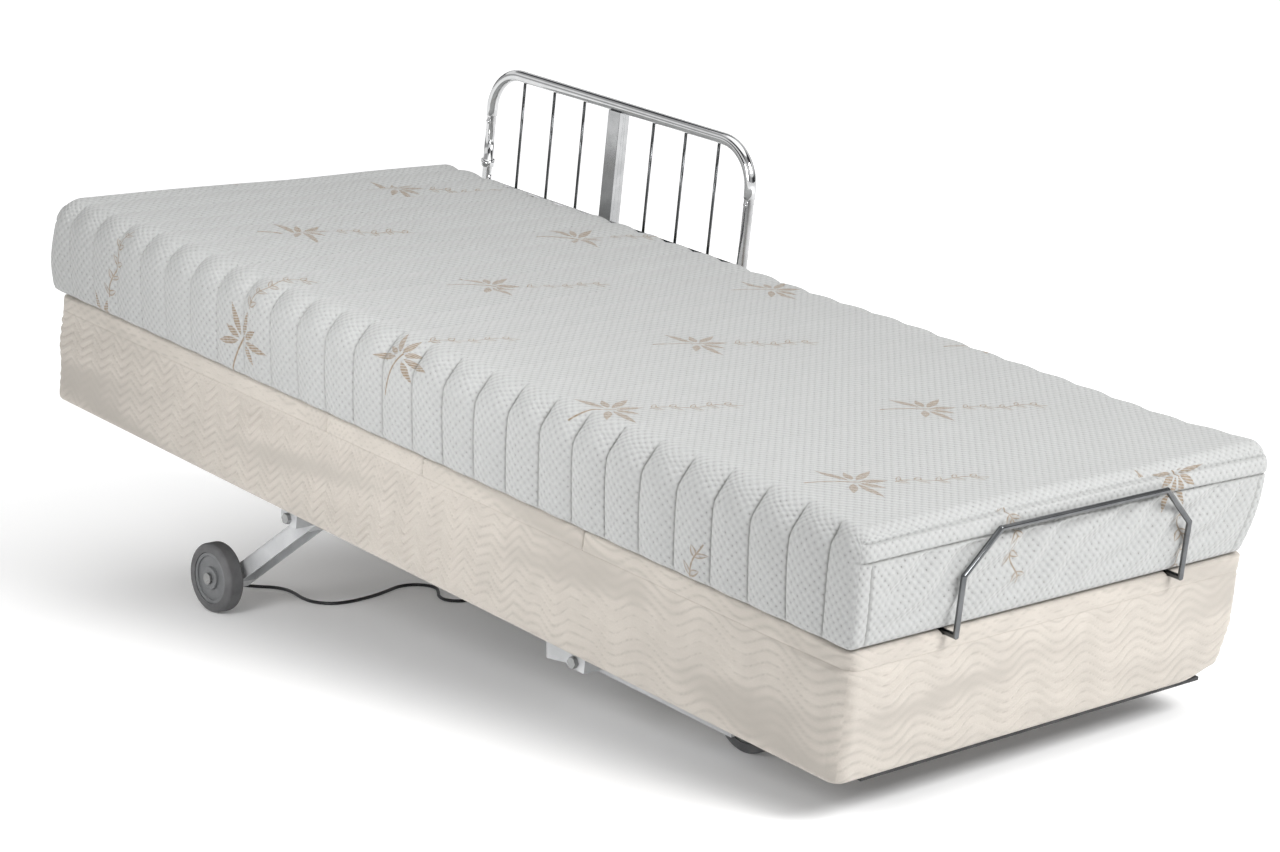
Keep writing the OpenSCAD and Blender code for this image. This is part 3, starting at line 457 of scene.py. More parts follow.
def make_mesh(name, points, quads, mat, uv, sharp, extra):
    """A smooth-shaded mesh of points in the bed's own frame, stood on the wheels.
    Its edges are sharp over the angle given, and extra holds its point values by name."""
    mesh = bpy.data.meshes.new(name)
    mesh.from_pydata(points.tolist(), [], quads.tolist())
    layer = mesh.uv_layers.new(name="UVMap")
    layer.data.foreach_set("uv", np.asarray(uv, np.float32).ravel())
    for key, values in extra.items():
        attribute = mesh.attributes.new(key, "FLOAT", "POINT")
        attribute.data.foreach_set("value", np.asarray(values, np.float32))
    mesh.polygons.foreach_set("use_smooth", [True] * len(mesh.polygons))
    mesh.set_sharp_from_angle(angle=math.radians(sharp))
    mesh.materials.append(mat)
    mesh.transform(STAND)
    mesh.update()
    return new_object(name, mesh)


def skin(xs, ys, zs):
    """Points, quads and each quad's face (axis, side) of the skin of a box cut at these places."""
    size = [len(xs), len(ys), len(zs)]
    grid = np.stack(np.meshgrid(xs, ys, zs, indexing="ij"), -1)
    edge = np.ones(size, bool)
    edge[1:-1, 1:-1, 1:-1] = False
    ids = np.full(size, -1)
    ids[edge] = np.arange(edge.sum())
    quads, faces = [], []
    for axis in range(3):
        for side in (0, 1):
            sheet = np.take(ids, -side, axis=axis)
            q = np.stack([sheet[:-1, :-1], sheet[1:, :-1], sheet[1:, 1:], sheet[:-1, 1:]], -1)
            q = q.reshape(-1, 4)
            if (side == 0) != (axis == 1):
                q = q[:, ::-1]
            quads.append(q)
            faces.append(np.full((len(q), 2), (axis, side)))
    return grid[edge], np.concatenate(quads), np.concatenate(faces)


def spans(*stops):
    """Places from the first stop to the last, with (place, steps up to it) after the first."""
    places = [stops[0]]
    for place, steps in stops[1:]:
        places += list(np.linspace(places[-1], place, steps + 1)[1:])
    return np.array(places)


def smoothstep(x, lo, hi):
    t = np.clip((x - lo) / (hi - lo), 0, 1)
    return t * t * (3 - 2 * t)


def groove(x, at, half):
    return np.exp(-(((x - at) / half) ** 2))


def rounded(p, lo, hi, radius_low, radius_high):
    """Points of a box's skin drawn in to rounded edges, and the way out at each.
    The radii are (x at its low end, x at its high end, y, z) below and above the middle."""
    mid, third = (lo + hi) / 2, (hi - lo) / 3
    low, high = (np.broadcast_to(r, (len(p), 4)) for r in (radius_low, radius_high))
    up = smoothstep(p[:, 2:], mid[2] - third[2], mid[2] + third[2])
    r = low * (1 - up) + high * up
    rx = np.where(p[:, 0] > mid[0], r[:, 1], r[:, 0])
    rz = np.where(p[:, 2] > mid[2], high[:, 3], low[:, 3])
    r = np.stack([rx, r[:, 2], rz], -1)
    core = np.clip(p, lo + r, hi - r)
    d = (p - core) / r
    n = d / np.maximum(np.linalg.norm(d, axis=1, keepdims=True), 1e-9)
    return core + n * r, n


# ---------------------------------------------------------------- mattress

# Edge radii: x at the head, x at the foot, y and z. Those of the top change towards the foot.
MAT_LOW_R = (0.024, 0.014, 0.013, 0.011)
MAT_TOP_R = np.array([0.060, 0.026, 0.045, 0.052])
MAT_FOOT_R = np.array([0.060, 0.026, 0.026, 0.036])
# The taped band on the foot and head faces, and how far it sags towards the corners
TAPE_LOW, TAPE_HIGH, TAPE_HALF, TAPE_SAG = 0.3330, 0.3615, 0.0022, 0.004
# The end faces' quilting: its slant and how far apart its lines stand
QUILT_SLANT, QUILT_PITCH = 0.95, 0.062
# Half width of the dark stitch line, which carries painted crease shade
STITCH_AND_SHADE_HALF = 0.0017
# Mesh lines beside each quilting line, and how near a piece's end one may stand
BESIDE_LINE = np.array([0, 0.0012, 0.003, 0.006, 0.011, 0.0175, 0.025, 0.033])
END_ROOM = 0.0008


def channel_places(x0, x1):
    """Places along the mattress, close together at each quilting line."""
    offsets = np.concatenate([BESIDE_LINE, CHANNEL - BESIDE_LINE[:0:-1]])
    first, last = (math.floor((x - CHANNEL_AT) / CHANNEL) for x in (x0, x1))
    xs = np.concatenate([CHANNEL_AT + k * CHANNEL + offsets for k in range(first - 1, last + 1)])
    xs = xs[(xs > x0 + END_ROOM) & (xs < x1 - END_ROOM)]
    return np.concatenate([[x0], xs, [x1]])


def tucked(x, y, t):
    """Sides and ends that lean in a little towards the top and tuck in under. t is 0 below and 1 on top."""
    foot = smoothstep(x, 0.55, 0.98)
    tuck = (0.013 + 0.024 * foot * (y > 0)) * np.clip(1 - t / 0.75, 0, 1) ** 1.5
    lean = 0.005 * np.clip((t - 0.5) / 0.5, 0, 1) ** 2
    end_tuck = 0.008 * np.clip(1 - t / 0.5, 0, 1) ** 1.6 + 0.003 * np.clip((t - 0.6) / 0.4, 0, 1) ** 2
    x = x - end_tuck * smoothstep(x, 0.86, 1.0) + end_tuck * smoothstep(-x, 0.88, 1.02)
    return x, y * (1 - (tuck + lean) / MAT_W)


def quilting(p, ny, nz):
    """How far the top and the long sides swell between the quilting lines, and the stitching on them: a dark
    line with painted crease shade that fades towards the head and stays off the top.
    The lines are deepest over the shoulder, and fine stitched creases down the sides."""
    side, top = ny**2, np.clip(nz, 0, 1) ** 2
    shoulder = 4 * side * top
    phase = (p[:, 0] - CHANNEL_AT) / CHANNEL
    crease = np.abs(np.sin(math.pi * phase))
    line, puff = crease**0.35 - 1, crease**1.4 - 0.6
    headward = 1 - smoothstep(p[:, 0], -0.6, 0.3)
    on_top = top * (0.0005 + 0.0028 * headward) * (line + puff)
    on_side = side * ((0.0056 - 0.0026 * headward) * line + 0.0026 * puff)
    on_shoulder = shoulder * ((0.0058 - 0.0040 * headward) * line + (0.0036 - 0.0014 * headward) * puff)
    ends_off = smoothstep(FOOT_X - p[:, 0], 0.012, 0.03) * smoothstep(p[:, 0] - HEAD_X, 0.012, 0.03)
    # A dark line along each crease on the sides and shoulder: stitching with painted crease shade, fading
    # towards the head
    stitch_and_shade = groove(np.abs(phase - np.round(phase)) * CHANNEL, 0, STITCH_AND_SHADE_HALF) * np.clip(side + shoulder, 0, 1)
    return (on_top + on_side + on_shoulder) * ends_off, stitch_and_shade * ends_off * (1 - 0.65 * headward)


def end_faces(p, nx, y, z):
    """The same on the foot and head faces: a taped band under the top edge, slanting quilting below it."""
    facing = nx**2
    sag = TAPE_SAG * np.abs(y / MAT_W) ** 3
    low, high = TAPE_LOW - sag, TAPE_HIGH - sag
    band = groove(z, high, TAPE_HALF) + groove(z, low, TAPE_HALF)
    swell = smoothstep(z, low, TAPE_LOW + 0.005) * (1 - smoothstep(z, TAPE_HIGH - 0.0055, high))
    slant = y * math.cos(QUILT_SLANT) - z * math.sin(QUILT_SLANT)
    bend = 0.9 * np.sin(2 * math.pi * (y + z) / 0.23)
    ripple = np.sin(2 * math.pi * slant / QUILT_PITCH + bend)
    panel = 1 - smoothstep(z, TAPE_LOW - 0.011, TAPE_LOW)
    corner = groove(np.abs(p[:, 1]), MAT_W - 0.030, 0.0020)
    tufts = 0.0056 * ripple - 0.0022
    tufts = tufts * smoothstep(MAT_W - np.abs(y), 0.05, 0.09) * smoothstep(z, MAT_LOW + 0.01, MAT_LOW + 0.05)
    out = facing * (-0.0042 * band + 0.0022 * swell + panel * (tufts - 0.0036 * corner))
    # Dark stitch lines with painted groove shade along the band's edges and in the corner groove
    return out, facing**4 * (0.75 * band + 0.5 * panel * corner)


def mattress_points(p):
    """The mattress's surface at these points of its plain box, and how far each is stitching with painted
    crease shade, 0 to 1.
    """
    lo = np.array([HEAD_X, -MAT_W, MAT_LOW])
    hi = np.array([FOOT_X, MAT_W, MAT_TOP])
    foot_end = smoothstep(p[:, :1], 0.84, 0.97)
    q, n = rounded(p, lo, hi, MAT_LOW_R, MAT_TOP_R * (1 - foot_end) + MAT_FOOT_R * foot_end)
    nx, ny, nz = n.T
    z = q[:, 2]
    x, y = tucked(q[:, 0], q[:, 1], (z - MAT_LOW) / MAT_H)
    out, stitch_and_shade = quilting(p, ny, nz)
    end_out, end_stitch_and_shade = end_faces(p, nx, y, z)
    # Slow unevenness, as foam under cloth has, but not on the flat underside
    slow = 0.0011 * np.sin(9.0 * x + 2.1 * np.sin(5.0 * y)) * np.sin(7.0 * y + 1.3)
    slow = slow + 0.0008 * np.sin(17.0 * x - 11.0 * y + 23.0 * z)
    out = out + end_out + slow * (nz >= -0.5)
    return np.stack([x, y, z], -1) + n * out[:, None], np.clip(stitch_and_shade + end_stitch_and_shade, 0, 1)


# The place on the cloth where the ends are cut from it
END_CLOTH = (-0.018, 0.348)


def cloth_uv(p, quads, faces, top, half_w):
    """Each quad corner's place on the cloth, in metres: the top lies flat and the long sides hang from it.
    The ends are cut the other way of the cloth, so that their sprigs hang down."""
    c = p[quads]
    x, y, z = c[..., 0], c[..., 1], c[..., 2]
    axis, side = faces[:, :1], faces[:, 1:]
    down = top - z
    u = np.where(axis == 0, y + END_CLOTH[0], x)
    v = np.where(axis == 1, np.where(side == 1, half_w + down, -half_w - down), y)
    v = np.where(axis == 0, END_CLOTH[1] - z, v)
    return np.stack([u, v], -1)


def mattress_piece(name, x0, x1, cad_nodes):
    ys = spans(-MAT_W, (-MAT_W + 0.05, 20), (-0.36, 6), (0.36, 60), (MAT_W - 0.05, 6), (MAT_W, 20))
    zs = spans(MAT_LOW, (0.232, 7), (0.322, 13), (0.330, 4), (0.336, 6), (0.358, 6), (0.365, 6), (MAT_TOP, 5))
    xs = channel_places(x0, x1)
    if x1 == FOOT_X:
        at_foot = spans(0.94, (0.952, 4), (0.963, 3), (FOOT_X, 16))
        xs = np.unique(np.round(np.concatenate([xs[xs < at_foot[0]], at_foot]), 5))
    if x0 == HEAD_X:
        at_head = spans(HEAD_X, (HEAD_X + 0.055, 16))
        xs = np.concatenate([at_head, xs[xs > at_head[-1] + 0.003]])
    p, quads, faces = skin(xs, ys, zs)
    q, stitch_and_shade = mattress_points(p)
    uv = cloth_uv(p, quads, faces, MAT_TOP, MAT_W)
    obj = make_mesh(name, q, quads, KNIT, uv=uv, sharp=62, extra={"stitch_and_shade": stitch_and_shade})
    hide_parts(*cad_nodes)
    return obj


mattress_back = mattress_piece(
    "mattress_back_part", HEAD_X, PIECE_CUTS[0], ["mattress_back", "mattress_hip_bend", "mattress_seat"]
)
mattress_lap = mattress_piece(
    "mattress_lap_part", *PIECE_CUTS, ["mattress_lap_bend", "mattress_seat", "mattress_thigh"]
)
mattress_leg = mattress_piece("mattress_leg_part", PIECE_CUTS[1], FOOT_X, ["mattress_thigh", "mattress_calf"])
# Where each piece lies over a hinge: the bodies on either side, and where along the bed the bend runs.
# Nothing here bends the pieces; they are only baked in place.
BENDS = (
    (mattress_back, "base", "back_section", -0.07, -0.44),
    (mattress_lap, "base", "thigh_section", 0.0, 0.13),
    (mattress_leg, "thigh_section", "calf_section", 0.36, 0.52),
)
for piece, before, after, bend_from, bend_to in BENDS:
    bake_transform(piece)


# ---------------------------------------------------------------- base cover and deck panels


COVER_STEP = 0.0042
CORNER_CUTS = 12
# The relief: rows of ridges, zigzags towards the head and waves towards the foot
RIDGE_PITCH = 0.0165
ZIG, ZIG_LENGTH = 0.021, 0.062
WAVE, WAVE_LENGTH = 0.013, 0.13
SIDE_RELIEF, END_RELIEF, DECK_RELIEF = 0.0064, 0.0040, 0.0014
# How far the cloth stands off the board
CLOTH = 0.0012


def outline(half_l, half_w, radius, step):
    """A rounded rectangle from the middle of the near side anticlockwise: points, ways out and distances."""
    pts, outs = [], []
    cx, cy = half_l - radius, half_w - radius
    for sx, sy, start in ((1, -1, -90), (1, 1, 0), (-1, 1, 90), (-1, -1, 180)):
        for angle in np.linspace(start, start + 90, CORNER_CUTS):
            c, s = math.cos(math.radians(angle)), math.sin(math.radians(angle))
            pts.append((sx * cx + radius * c, sy * cy + radius * s))
            outs.append((c, s))
    pts, outs = np.array(pts), np.array(outs)
    dense_p, dense_n = [], []
    for a, b, out_a, out_b in zip(pts, np.roll(pts, -1, axis=0), outs, np.roll(outs, -1, axis=0)):
        steps = max(1, round(np.linalg.norm(b - a) / step))
        for f in np.arange(steps) / steps:
            way = out_a * (1 - f) + out_b * f
            dense_p.append(a + (b - a) * f)
            dense_n.append(way / np.linalg.norm(way))
    dense_p = np.array(dense_p)
    gaps = np.linalg.norm(np.diff(np.vstack([dense_p, dense_p[:1]]), axis=0), axis=1)
    return dense_p, np.array(dense_n), np.concatenate([[0], np.cumsum(gaps)])


def triangle(t):
    return 2 * np.abs(2 * (t - np.floor(t + 0.5))) - 1


def emboss(x, y, z, ny):
    """The quilted relief of the base cloth, 0 to 1: zigzags at the head that melt into waves at the foot."""
    along = np.where(np.abs(ny) > 0.7, x, y)
    wander = 0.006 * np.sin(along * 6.1 + 4.0 * z) + 0.004 * np.sin(along * 13.7)
    zig = ZIG * triangle(along / ZIG_LENGTH + 0.15 * np.sin(5.0 * along))
    zig = zig * (0.75 + 0.25 * np.sin(3.1 * along + 9 * z))
    wave = WAVE * np.sin(2 * math.pi * along / WAVE_LENGTH + 0.9 * np.sin(4.0 * along) + 11 * z)
    foot = smoothstep(x, -0.25, 0.75)
    line = z + wander + zig * (1 - foot) + wave * foot
    ridge = np.abs(np.sin(math.pi * line / RIDGE_PITCH)) ** 0.7
    patchy = 0.55 + 0.45 * np.sin(7.3 * along + 2.0 * np.sin(31 * z)) * np.sin(3.7 * along + 1.1 + 14 * z)
    return ridge * patchy


def joint_groove(x, nx, z):
    """How far the cloth is drawn in where the deck meets the base: hardly at all, but for the foot corner."""
    depth = 0.0001 + 0.0030 * smoothstep(x, 0.80, 0.975) * (1 - 0.75 * smoothstep(nx, 0.75, 1.0))
    return depth * (1 - smoothstep(np.abs(z - JOINT_Z), 0.0, 0.008))


def board_section():
    """The cloth's section round a board, (out, up) from its lower outside edge, and which points show.
    It runs from under the board up the outside, over the top and down inside."""
    under = [(-BOARD_T, 0.0), (-0.012, 0.0)]
    turn_r = 0.011
    turn = []
    for angle in np.radians(np.linspace(-80, -8, 7)):
        turn.append((turn_r * (math.cos(angle) - 1), turn_r * (math.sin(angle) + 1)))
    up = [(0.0, z) for z in spans(0.010, (JOINT_Z - 0.011, 36), (JOINT_Z - 0.0006, 8))]
    over = [(-0.0002, JOINT_Z), (-0.006, JOINT_Z), (-BOARD_T, JOINT_Z)]
    down = [(-BOARD_T, z) for z in (0.13, 0.09, 0.045)]
    section = np.array(under + turn + up + over + down)
    shows = np.zeros(len(section))
    shows[len(under) : len(under + turn + up) + 1] = 1
    return section, shows


def base_cover():
    """The padded cloth round the four boards."""
    pts, outs, dist = outline(HALF_L, HALF_W, CORNER_R, COVER_STEP)
    section, shows = board_section()
    n, m = len(pts), len(section)
    x = pts[:, None, 0] + outs[:, None, 0] * section[None, :, 0]
    y = pts[:, None, 1] + outs[:, None, 1] * section[None, :, 0]
    z = np.broadcast_to(section[None, :, 1], (n, m))
    nx, ny = outs[:, None, 0], outs[:, None, 1]
    relief = emboss(pts[:, None, 0], pts[:, None, 1], z, ny)
    fall = smoothstep(z, 0.002, 0.02) * (1 - smoothstep(z, BOARD_H - 0.012, BOARD_H - 0.002))
    depth = np.where(nx > 0.7, END_RELIEF, SIDE_RELIEF)
    depth = depth * (1 - 0.66 * smoothstep(x, -0.2, 0.7) * (np.abs(ny) > 0.7))
    # Cloth pulled over a board: a low swell, and a few long folds on the foot face
    swell = 0.0022 * np.sin(math.pi * np.clip(z / BOARD_H, 0, 1)) ** 0.7
    folds = 0.00096 * np.sin(2 * math.pi * (z + 0.05 * np.sin(4.2 * y + 0.5)) / 0.05)
    folds = folds * smoothstep(nx, 0.8, 1.0)
    out = shows * (swell + fall * (depth * (relief - 0.5) + folds) + CLOTH - joint_groove(x, nx, z))
    x, y = x + nx * out, y + ny * out
    # The far foot corner is drawn up underneath
    drawn = smoothstep(x, 0.90, 0.98) * smoothstep(y, 0.33, HALF_W) * np.clip(1 - z / 0.13, 0, 1) ** 1.6
    points = np.stack([x, y - 0.022 * drawn, z + 0.016 * drawn], -1).reshape(-1, 3)

    a = np.arange(n * m).reshape(n, m)
    b = np.roll(a, -1, axis=0)
    quads = np.stack([a, b, np.roll(b, -1, axis=1), np.roll(a, -1, axis=1)], -1).reshape(-1, 4)
    length = np.concatenate([[0], np.cumsum(np.linalg.norm(np.diff(section, axis=0), axis=1))])
    length = np.append(length, length[-1] + 0.04)
    i, j = np.meshgrid(np.arange(n), np.arange(m), indexing="ij")
    corners = [(i, j), (i + 1, j), (i + 1, j + 1), (i, j + 1)]
    uv = np.stack([np.stack([dist[c], length[d]], -1) for c, d in corners], 2)
    hidden_relief = 0.6
    obj = make_mesh(
        "base_cover", points, quads, BASE_CLOTH, uv=uv, sharp=70,
        extra={"emboss": np.where(shows > 0, relief, hidden_relief).ravel()},
    )
    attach(obj, "base")
    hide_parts("base_panel_near", "base_panel_far", "base_panel_head", "base_panel_foot")


# A deck cover's edge radii: at a hinge, along the sides, below and on top, and how wide its edge strip is
HINGE_R, SIDE_R, BELOW_R, TOP_R = 0.0012, 0.004, 0.0003, 0.007
EDGE_STRIP, EDGE_CUTS = 0.04, 12
# The retainer's legs stand in two troughs in the foot end of the calf's cover
LEG_Y, TROUGH_HALF, TROUGH_DEEP, TROUGH_FROM = 0.255, 0.0050, 0.0105, 0.885


def deck_cover(part, body, stays=None):
    """The cloth round one deck panel. Without stays it rides on its body; with stays it is only baked in
    place.
    """
    x0, x1 = PANEL_ENDS[part]
    head, foot = part == "back", part == "calf"
    lo = np.array([x0, -HALF_W, JOINT_Z + 0.00005])
    hi = np.array([x1, HALF_W, DECK_TOP])
    middle = round((x1 - x0) / 0.012)
    xs = spans(x0, (x0 + EDGE_STRIP, EDGE_CUTS), (x1 - EDGE_STRIP, middle), (x1, EDGE_CUTS))
    ys = spans(-HALF_W, (-HALF_W + EDGE_STRIP, EDGE_CUTS), (HALF_W - EDGE_STRIP, 66), (HALF_W, EDGE_CUTS))
    zs = spans(lo[2], (lo[2] + 0.001, 3), (lo[2] + 0.009, 6), (DECK_TOP - 0.010, 6), (DECK_TOP, 7))
    if foot:
        at_leg = np.linspace(LEG_Y - 0.008, LEG_Y + 0.008, 9)
        ys = np.unique(np.round(np.concatenate([ys, -at_leg, at_leg]), 6))
    p, quads, faces = skin(xs, ys, zs)
    end_r = (CORNER_R if head else HINGE_R, CORNER_R if foot else HINGE_R)
    # Near the bed's ends the side edges round off into its corners
    at_end = smoothstep(p[:, :1], 0.90, 0.96) + smoothstep(-p[:, :1], 0.90, 0.96)
    wide = at_end * (CORNER_R - SIDE_R) * np.array([0, 0, 1, 0])
    low_r, top_r = (np.array([*end_r, SIDE_R, r]) + wide for r in (BELOW_R, TOP_R))
    q, n = rounded(p, lo, hi, low_r, top_r)
    x, y, z = q.T
    # The ends at a hinge reach further at the sides
    footward = smoothstep(x, x1 - EDGE_STRIP, x1 - 0.012) * (not foot)
    headward = (1 - smoothstep(x, x0 + 0.012, x0 + EDGE_STRIP)) * (not head)
    x += PANEL_LAP * smoothstep(np.abs(y), 0.36, 0.41) * (footward - headward)
    relief = emboss(x, y, z, n[:, 1])
    edge = smoothstep(np.hypot(n[:, 0] * ((x < 0) * head + (x > 0) * foot), n[:, 1]), 0.25, 0.75)
    raised = DECK_RELIEF * (relief - 0.5) * smoothstep(z, 0.172, 0.180)
    out = edge * (raised + CLOTH - joint_groove(x, n[:, 0], z))
    q = q + n * out[:, None] * np.array([1, 1, 0])
    if foot:
        for leg_y in (-LEG_Y, LEG_Y):
            trough = np.exp(-(((q[:, 1] - leg_y) / TROUGH_HALF) ** 4))
            q[:, 2] -= TROUGH_DEEP * trough * (n[:, 2] > 0.02) * (q[:, 0] > TROUGH_FROM)
    uv = cloth_uv(p, quads, faces, DECK_TOP, HALF_W)
    obj = make_mesh(part + "_panel_cover", q, quads, DECK_CLOTH, uv=uv, sharp=75, extra={"emboss": relief})
    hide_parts(part + "_panel")
    if stays is None:
        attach(obj, body)
        return
    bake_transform(obj)


base_cover()
deck_cover("seat", "base")
deck_cover("back", "back_section", "base")
deck_cover("thigh", "thigh_section", "base")
deck_cover("calf", "calf_section", "thigh_section")


# ---------------------------------------------------------------- mains lead

# The lead leaves the gland, drops to the coil, and runs from it over the floor to the plug
LEAD_R, LEAD_LENGTH = 0.003, 2.9
DROP = [
    (-0.359, 0.118, 0.297), (-0.361, 0.118, 0.280), (-0.361, 0.118, 0.255), (-0.360, 0.118, 0.220),
    (-0.358, 0.118, 0.180), (-0.356, 0.118, 0.140), (-0.355, 0.118, 0.100), (-0.355, 0.118, 0.070),
    (-0.355, 0.118, 0.046), (-0.355, 0.121, 0.032), (-0.355, 0.129, 0.022), (-0.355, 0.140, 0.017),
]
FLOOR_RUN = [
    (-0.428, 0.125, 0.003), (-0.427, 0.095, 0.003), (-0.424, 0.065, 0.003), (-0.415, 0.035, 0.003),
    (-0.402, 0.010, 0.003), (-0.396, -0.015, 0.003), (-0.405, -0.038, 0.003), (-0.428, -0.048, 0.003),
    (-0.455, -0.040, 0.003), (-0.480, -0.022, 0.003), (-0.505, -0.006, 0.003), (-0.532, -0.004, 0.003),
    (-0.556, -0.020, 0.003), (-0.562, -0.048, 0.003), (-0.552, -0.080, 0.003), (-0.541, -0.115, 0.003),
    (-0.535, -0.150, 0.003), (-0.534, -0.185, 0.003), (-0.545, -0.215, 0.003), (-0.575, -0.231, 0.003),
    (-0.612, -0.229, 0.003), (-0.648, -0.219, 0.003), (-0.682, -0.213, 0.003), (-0.712, -0.219, 0.003),
    (-0.738, -0.236, 0.003), (-0.765, -0.250, 0.003), (-0.792, -0.257, 0.005), (-0.815, -0.258, 0.008),
    (-0.830, -0.258, 0.010),
]
COIL_AT = (-0.385, 0.148)
COIL_R, COIL_STEP, COIL_LOW, COIL_HIGH = 0.030, 0.0064, 0.003, 0.0158
TURN_STEPS = 28
# The coil's stages: turns, then the column and the height that each starts and ends at
COIL_STAGES = [
    (2.0, 0, 0, COIL_HIGH, COIL_LOW), (0.5, 0, 1, COIL_LOW, COIL_LOW), (2.0, 1, 1, COIL_LOW, COIL_HIGH),
    (0.5, 1, 2, COIL_HIGH, COIL_HIGH), (2.0, 2, 2, COIL_HIGH, COIL_LOW), (0.5, 2, 2, COIL_LOW, COIL_LOW),
]
TIE_ANGLE, TIE_R, TIE_ROOM = 2.4, 0.0010, 0.0006


def round_coil(r, angle, z):
    return (COIL_AT[0] + r * math.cos(angle), COIL_AT[1] + r * math.sin(angle), z)


def coil():
    """Three columns of turns: down inside, up in the middle, down outside."""
    pts = []
    angle = 0.0
    for turns, column, next_column, z0, z1 in COIL_STAGES:
        steps = int(turns * TURN_STEPS)
        for k in range(steps):
            f = k / steps
            r = COIL_R + COIL_STEP * (column + (next_column - column) * smoothstep(f, 0, 1))
            pts.append(round_coil(r, angle + 2 * math.pi * turns * f, z0 + (z1 - z0) * f))
        angle += 2 * math.pi * turns
    pts.append(round_coil(COIL_R + 2 * COIL_STEP, angle, COIL_LOW))
    return pts


def smooth_line(points, fine):
    """A Catmull-Rom curve through the points."""
    p = np.array(points, float)
    p = np.vstack([2 * p[0] - p[1], p, 2 * p[-1] - p[-2]])
    made = []
    for k in range(1, len(p) - 2):
        a, b, c, d = p[k - 1 : k + 3]
        for t in np.arange(fine) / fine:
            square, cube = 2 * a - 5 * b + 4 * c - d, 3 * b - a - 3 * c + d
            made.append(0.5 * (2 * b + (c - a) * t + square * t**2 + cube * t**3))
    made.append(p[-2])
    return np.array(made)


def lead_tie():
    """A wire tie round the coil's turns, in a rounded square."""
    out, up = COIL_STEP + LEAD_R + TIE_ROOM, (COIL_HIGH - COIL_LOW) / 2 + LEAD_R
    line = []
    for angle in np.linspace(0, 2 * math.pi, 33)[:-1]:
        c, s = (math.copysign(abs(v) ** 0.6, v) for v in (math.cos(angle), math.sin(angle)))
        z = (COIL_HIGH + COIL_LOW) / 2 + 2 * TIE_ROOM + up * s
        line.append(round_coil(COIL_R + COIL_STEP + out * c, TIE_ANGLE, z))
    obj = wire("lead_tie", line, TIE_R, BLACK_PLASTIC, closed=True)
    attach(obj, "base")
    return obj


def wire(name, line, radius, mat, closed=False):
    """A round wire along the points, in metres in the frame."""
    data = bpy.data.curves.new(name + "_line", "CURVE")
    data.dimensions = "3D"
    spline = data.splines.new("POLY")
    spline.points.add(len(line) - 1)
    spline.points.foreach_set("co", np.column_stack([line, np.ones(len(line))]).ravel())
    spline.use_cyclic_u = closed
    data.bevel_depth = radius
    data.bevel_resolution = 4
    data.use_fill_caps = True
    data.materials.append(mat)
    return new_object(name, data)


def lead():
    """The mains lead on its whole route, with its plug, gland and tie."""
    line = smooth_line(DROP + coil() + FLOOR_RUN, 3)
    obj = wire("mains_lead_visual", line, LEAD_R, LEAD)
    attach(obj, "base")
    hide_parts("mains_lead_drop", "lead_coil", "mains_lead")
    lead_tie()


lead()


# ---------------------------------------------------------------- frame nodes

FINISH = {
    BAR_STEEL: ["rail_bars", "mattress_retainer"],
    POST_STEEL: ["rail_post"],
    CHROME: ["rail_hoop", "back_rod", "knee_rod", "lift_rod_head", "lift_rod_foot"],
    ZINC: ["seat_hinge_pins", "knee_hinge_pins", "pivot_bolts", "head_wheel_axles", "foot_wheel_axles"],
    SILVER_PAINT: [
        "pivot_brackets", "head_lift_arms", "foot_lift_arms", "head_torsion_tube", "foot_torsion_tube",
    ],
    DARK_PAINT: [
        "chassis_rails", "chassis_beams", "seat_bearers", "back_bearers", "thigh_bearers", "calf_bearers",
        "back_crank", "thigh_crank", "rail_receiver",
    ],
    RUBBER: ["tyre_head_near", "tyre_head_far", "tyre_foot_near", "tyre_foot_far"],
    HUB_PLASTIC: ["hub_head_near", "hub_head_far", "hub_foot_near", "hub_foot_far"],
    BLACK_PLASTIC: ["control_box", "cord_gland", "mains_plug", "rail_lock_knob"],
    HOUSING: ["lift_housings", "profile_housings", "actuator_motors"],
    TRIM: ["bottom_trim"],
}
# Round rods and tubes have no bevel, and the rail's flat post a wide one
BEVEL = {"rail_hoop": 0.0, "rail_bars": 0.0, "mattress_retainer": 0.0, "rail_post": 0.002}
PLAIN_BEVEL, BEVEL_OVER = 0.0008, math.radians(50)
WELD_WITHIN = 0.00001


def finish_node(name, mat):
    """Gives a CAD node its material, smooth faces and bevelled edges."""
    obj = NODES[name]
    mesh = obj.data
    mesh.materials.clear()
    mesh.materials.append(mat)
    if "custom_normal" in mesh.attributes:
        mesh.attributes.remove(mesh.attributes["custom_normal"])
    mesh.polygons.foreach_set("use_smooth", [True] * len(mesh.polygons))
    weld = obj.modifiers.new("weld", "WELD")
    weld.merge_threshold = WELD_WITHIN
    width = BEVEL.get(name, PLAIN_BEVEL)
    if width:
        bevel = obj.modifiers.new("bevel", "BEVEL")
        bevel.width = width
        bevel.segments = 2
        bevel.limit_method = "ANGLE"
        bevel.angle_limit = BEVEL_OVER
        bevel.harden_normals = True


for finish, names in FINISH.items():
    for name in names:
        finish_node(name, finish)


# ---------------------------------------------------------------- floor

FLOOR_HALF, FLOOR_GAP = 60, 0.0002
# The floor glows more with distance from under the bed, (distance, strength), so that it is white far off
GLOW_ROUND = (0.4, 0.0, 0.0)
GLOW_NEAR, GLOW_FAR = (0.8, 0.10), (3.2, 0.48)


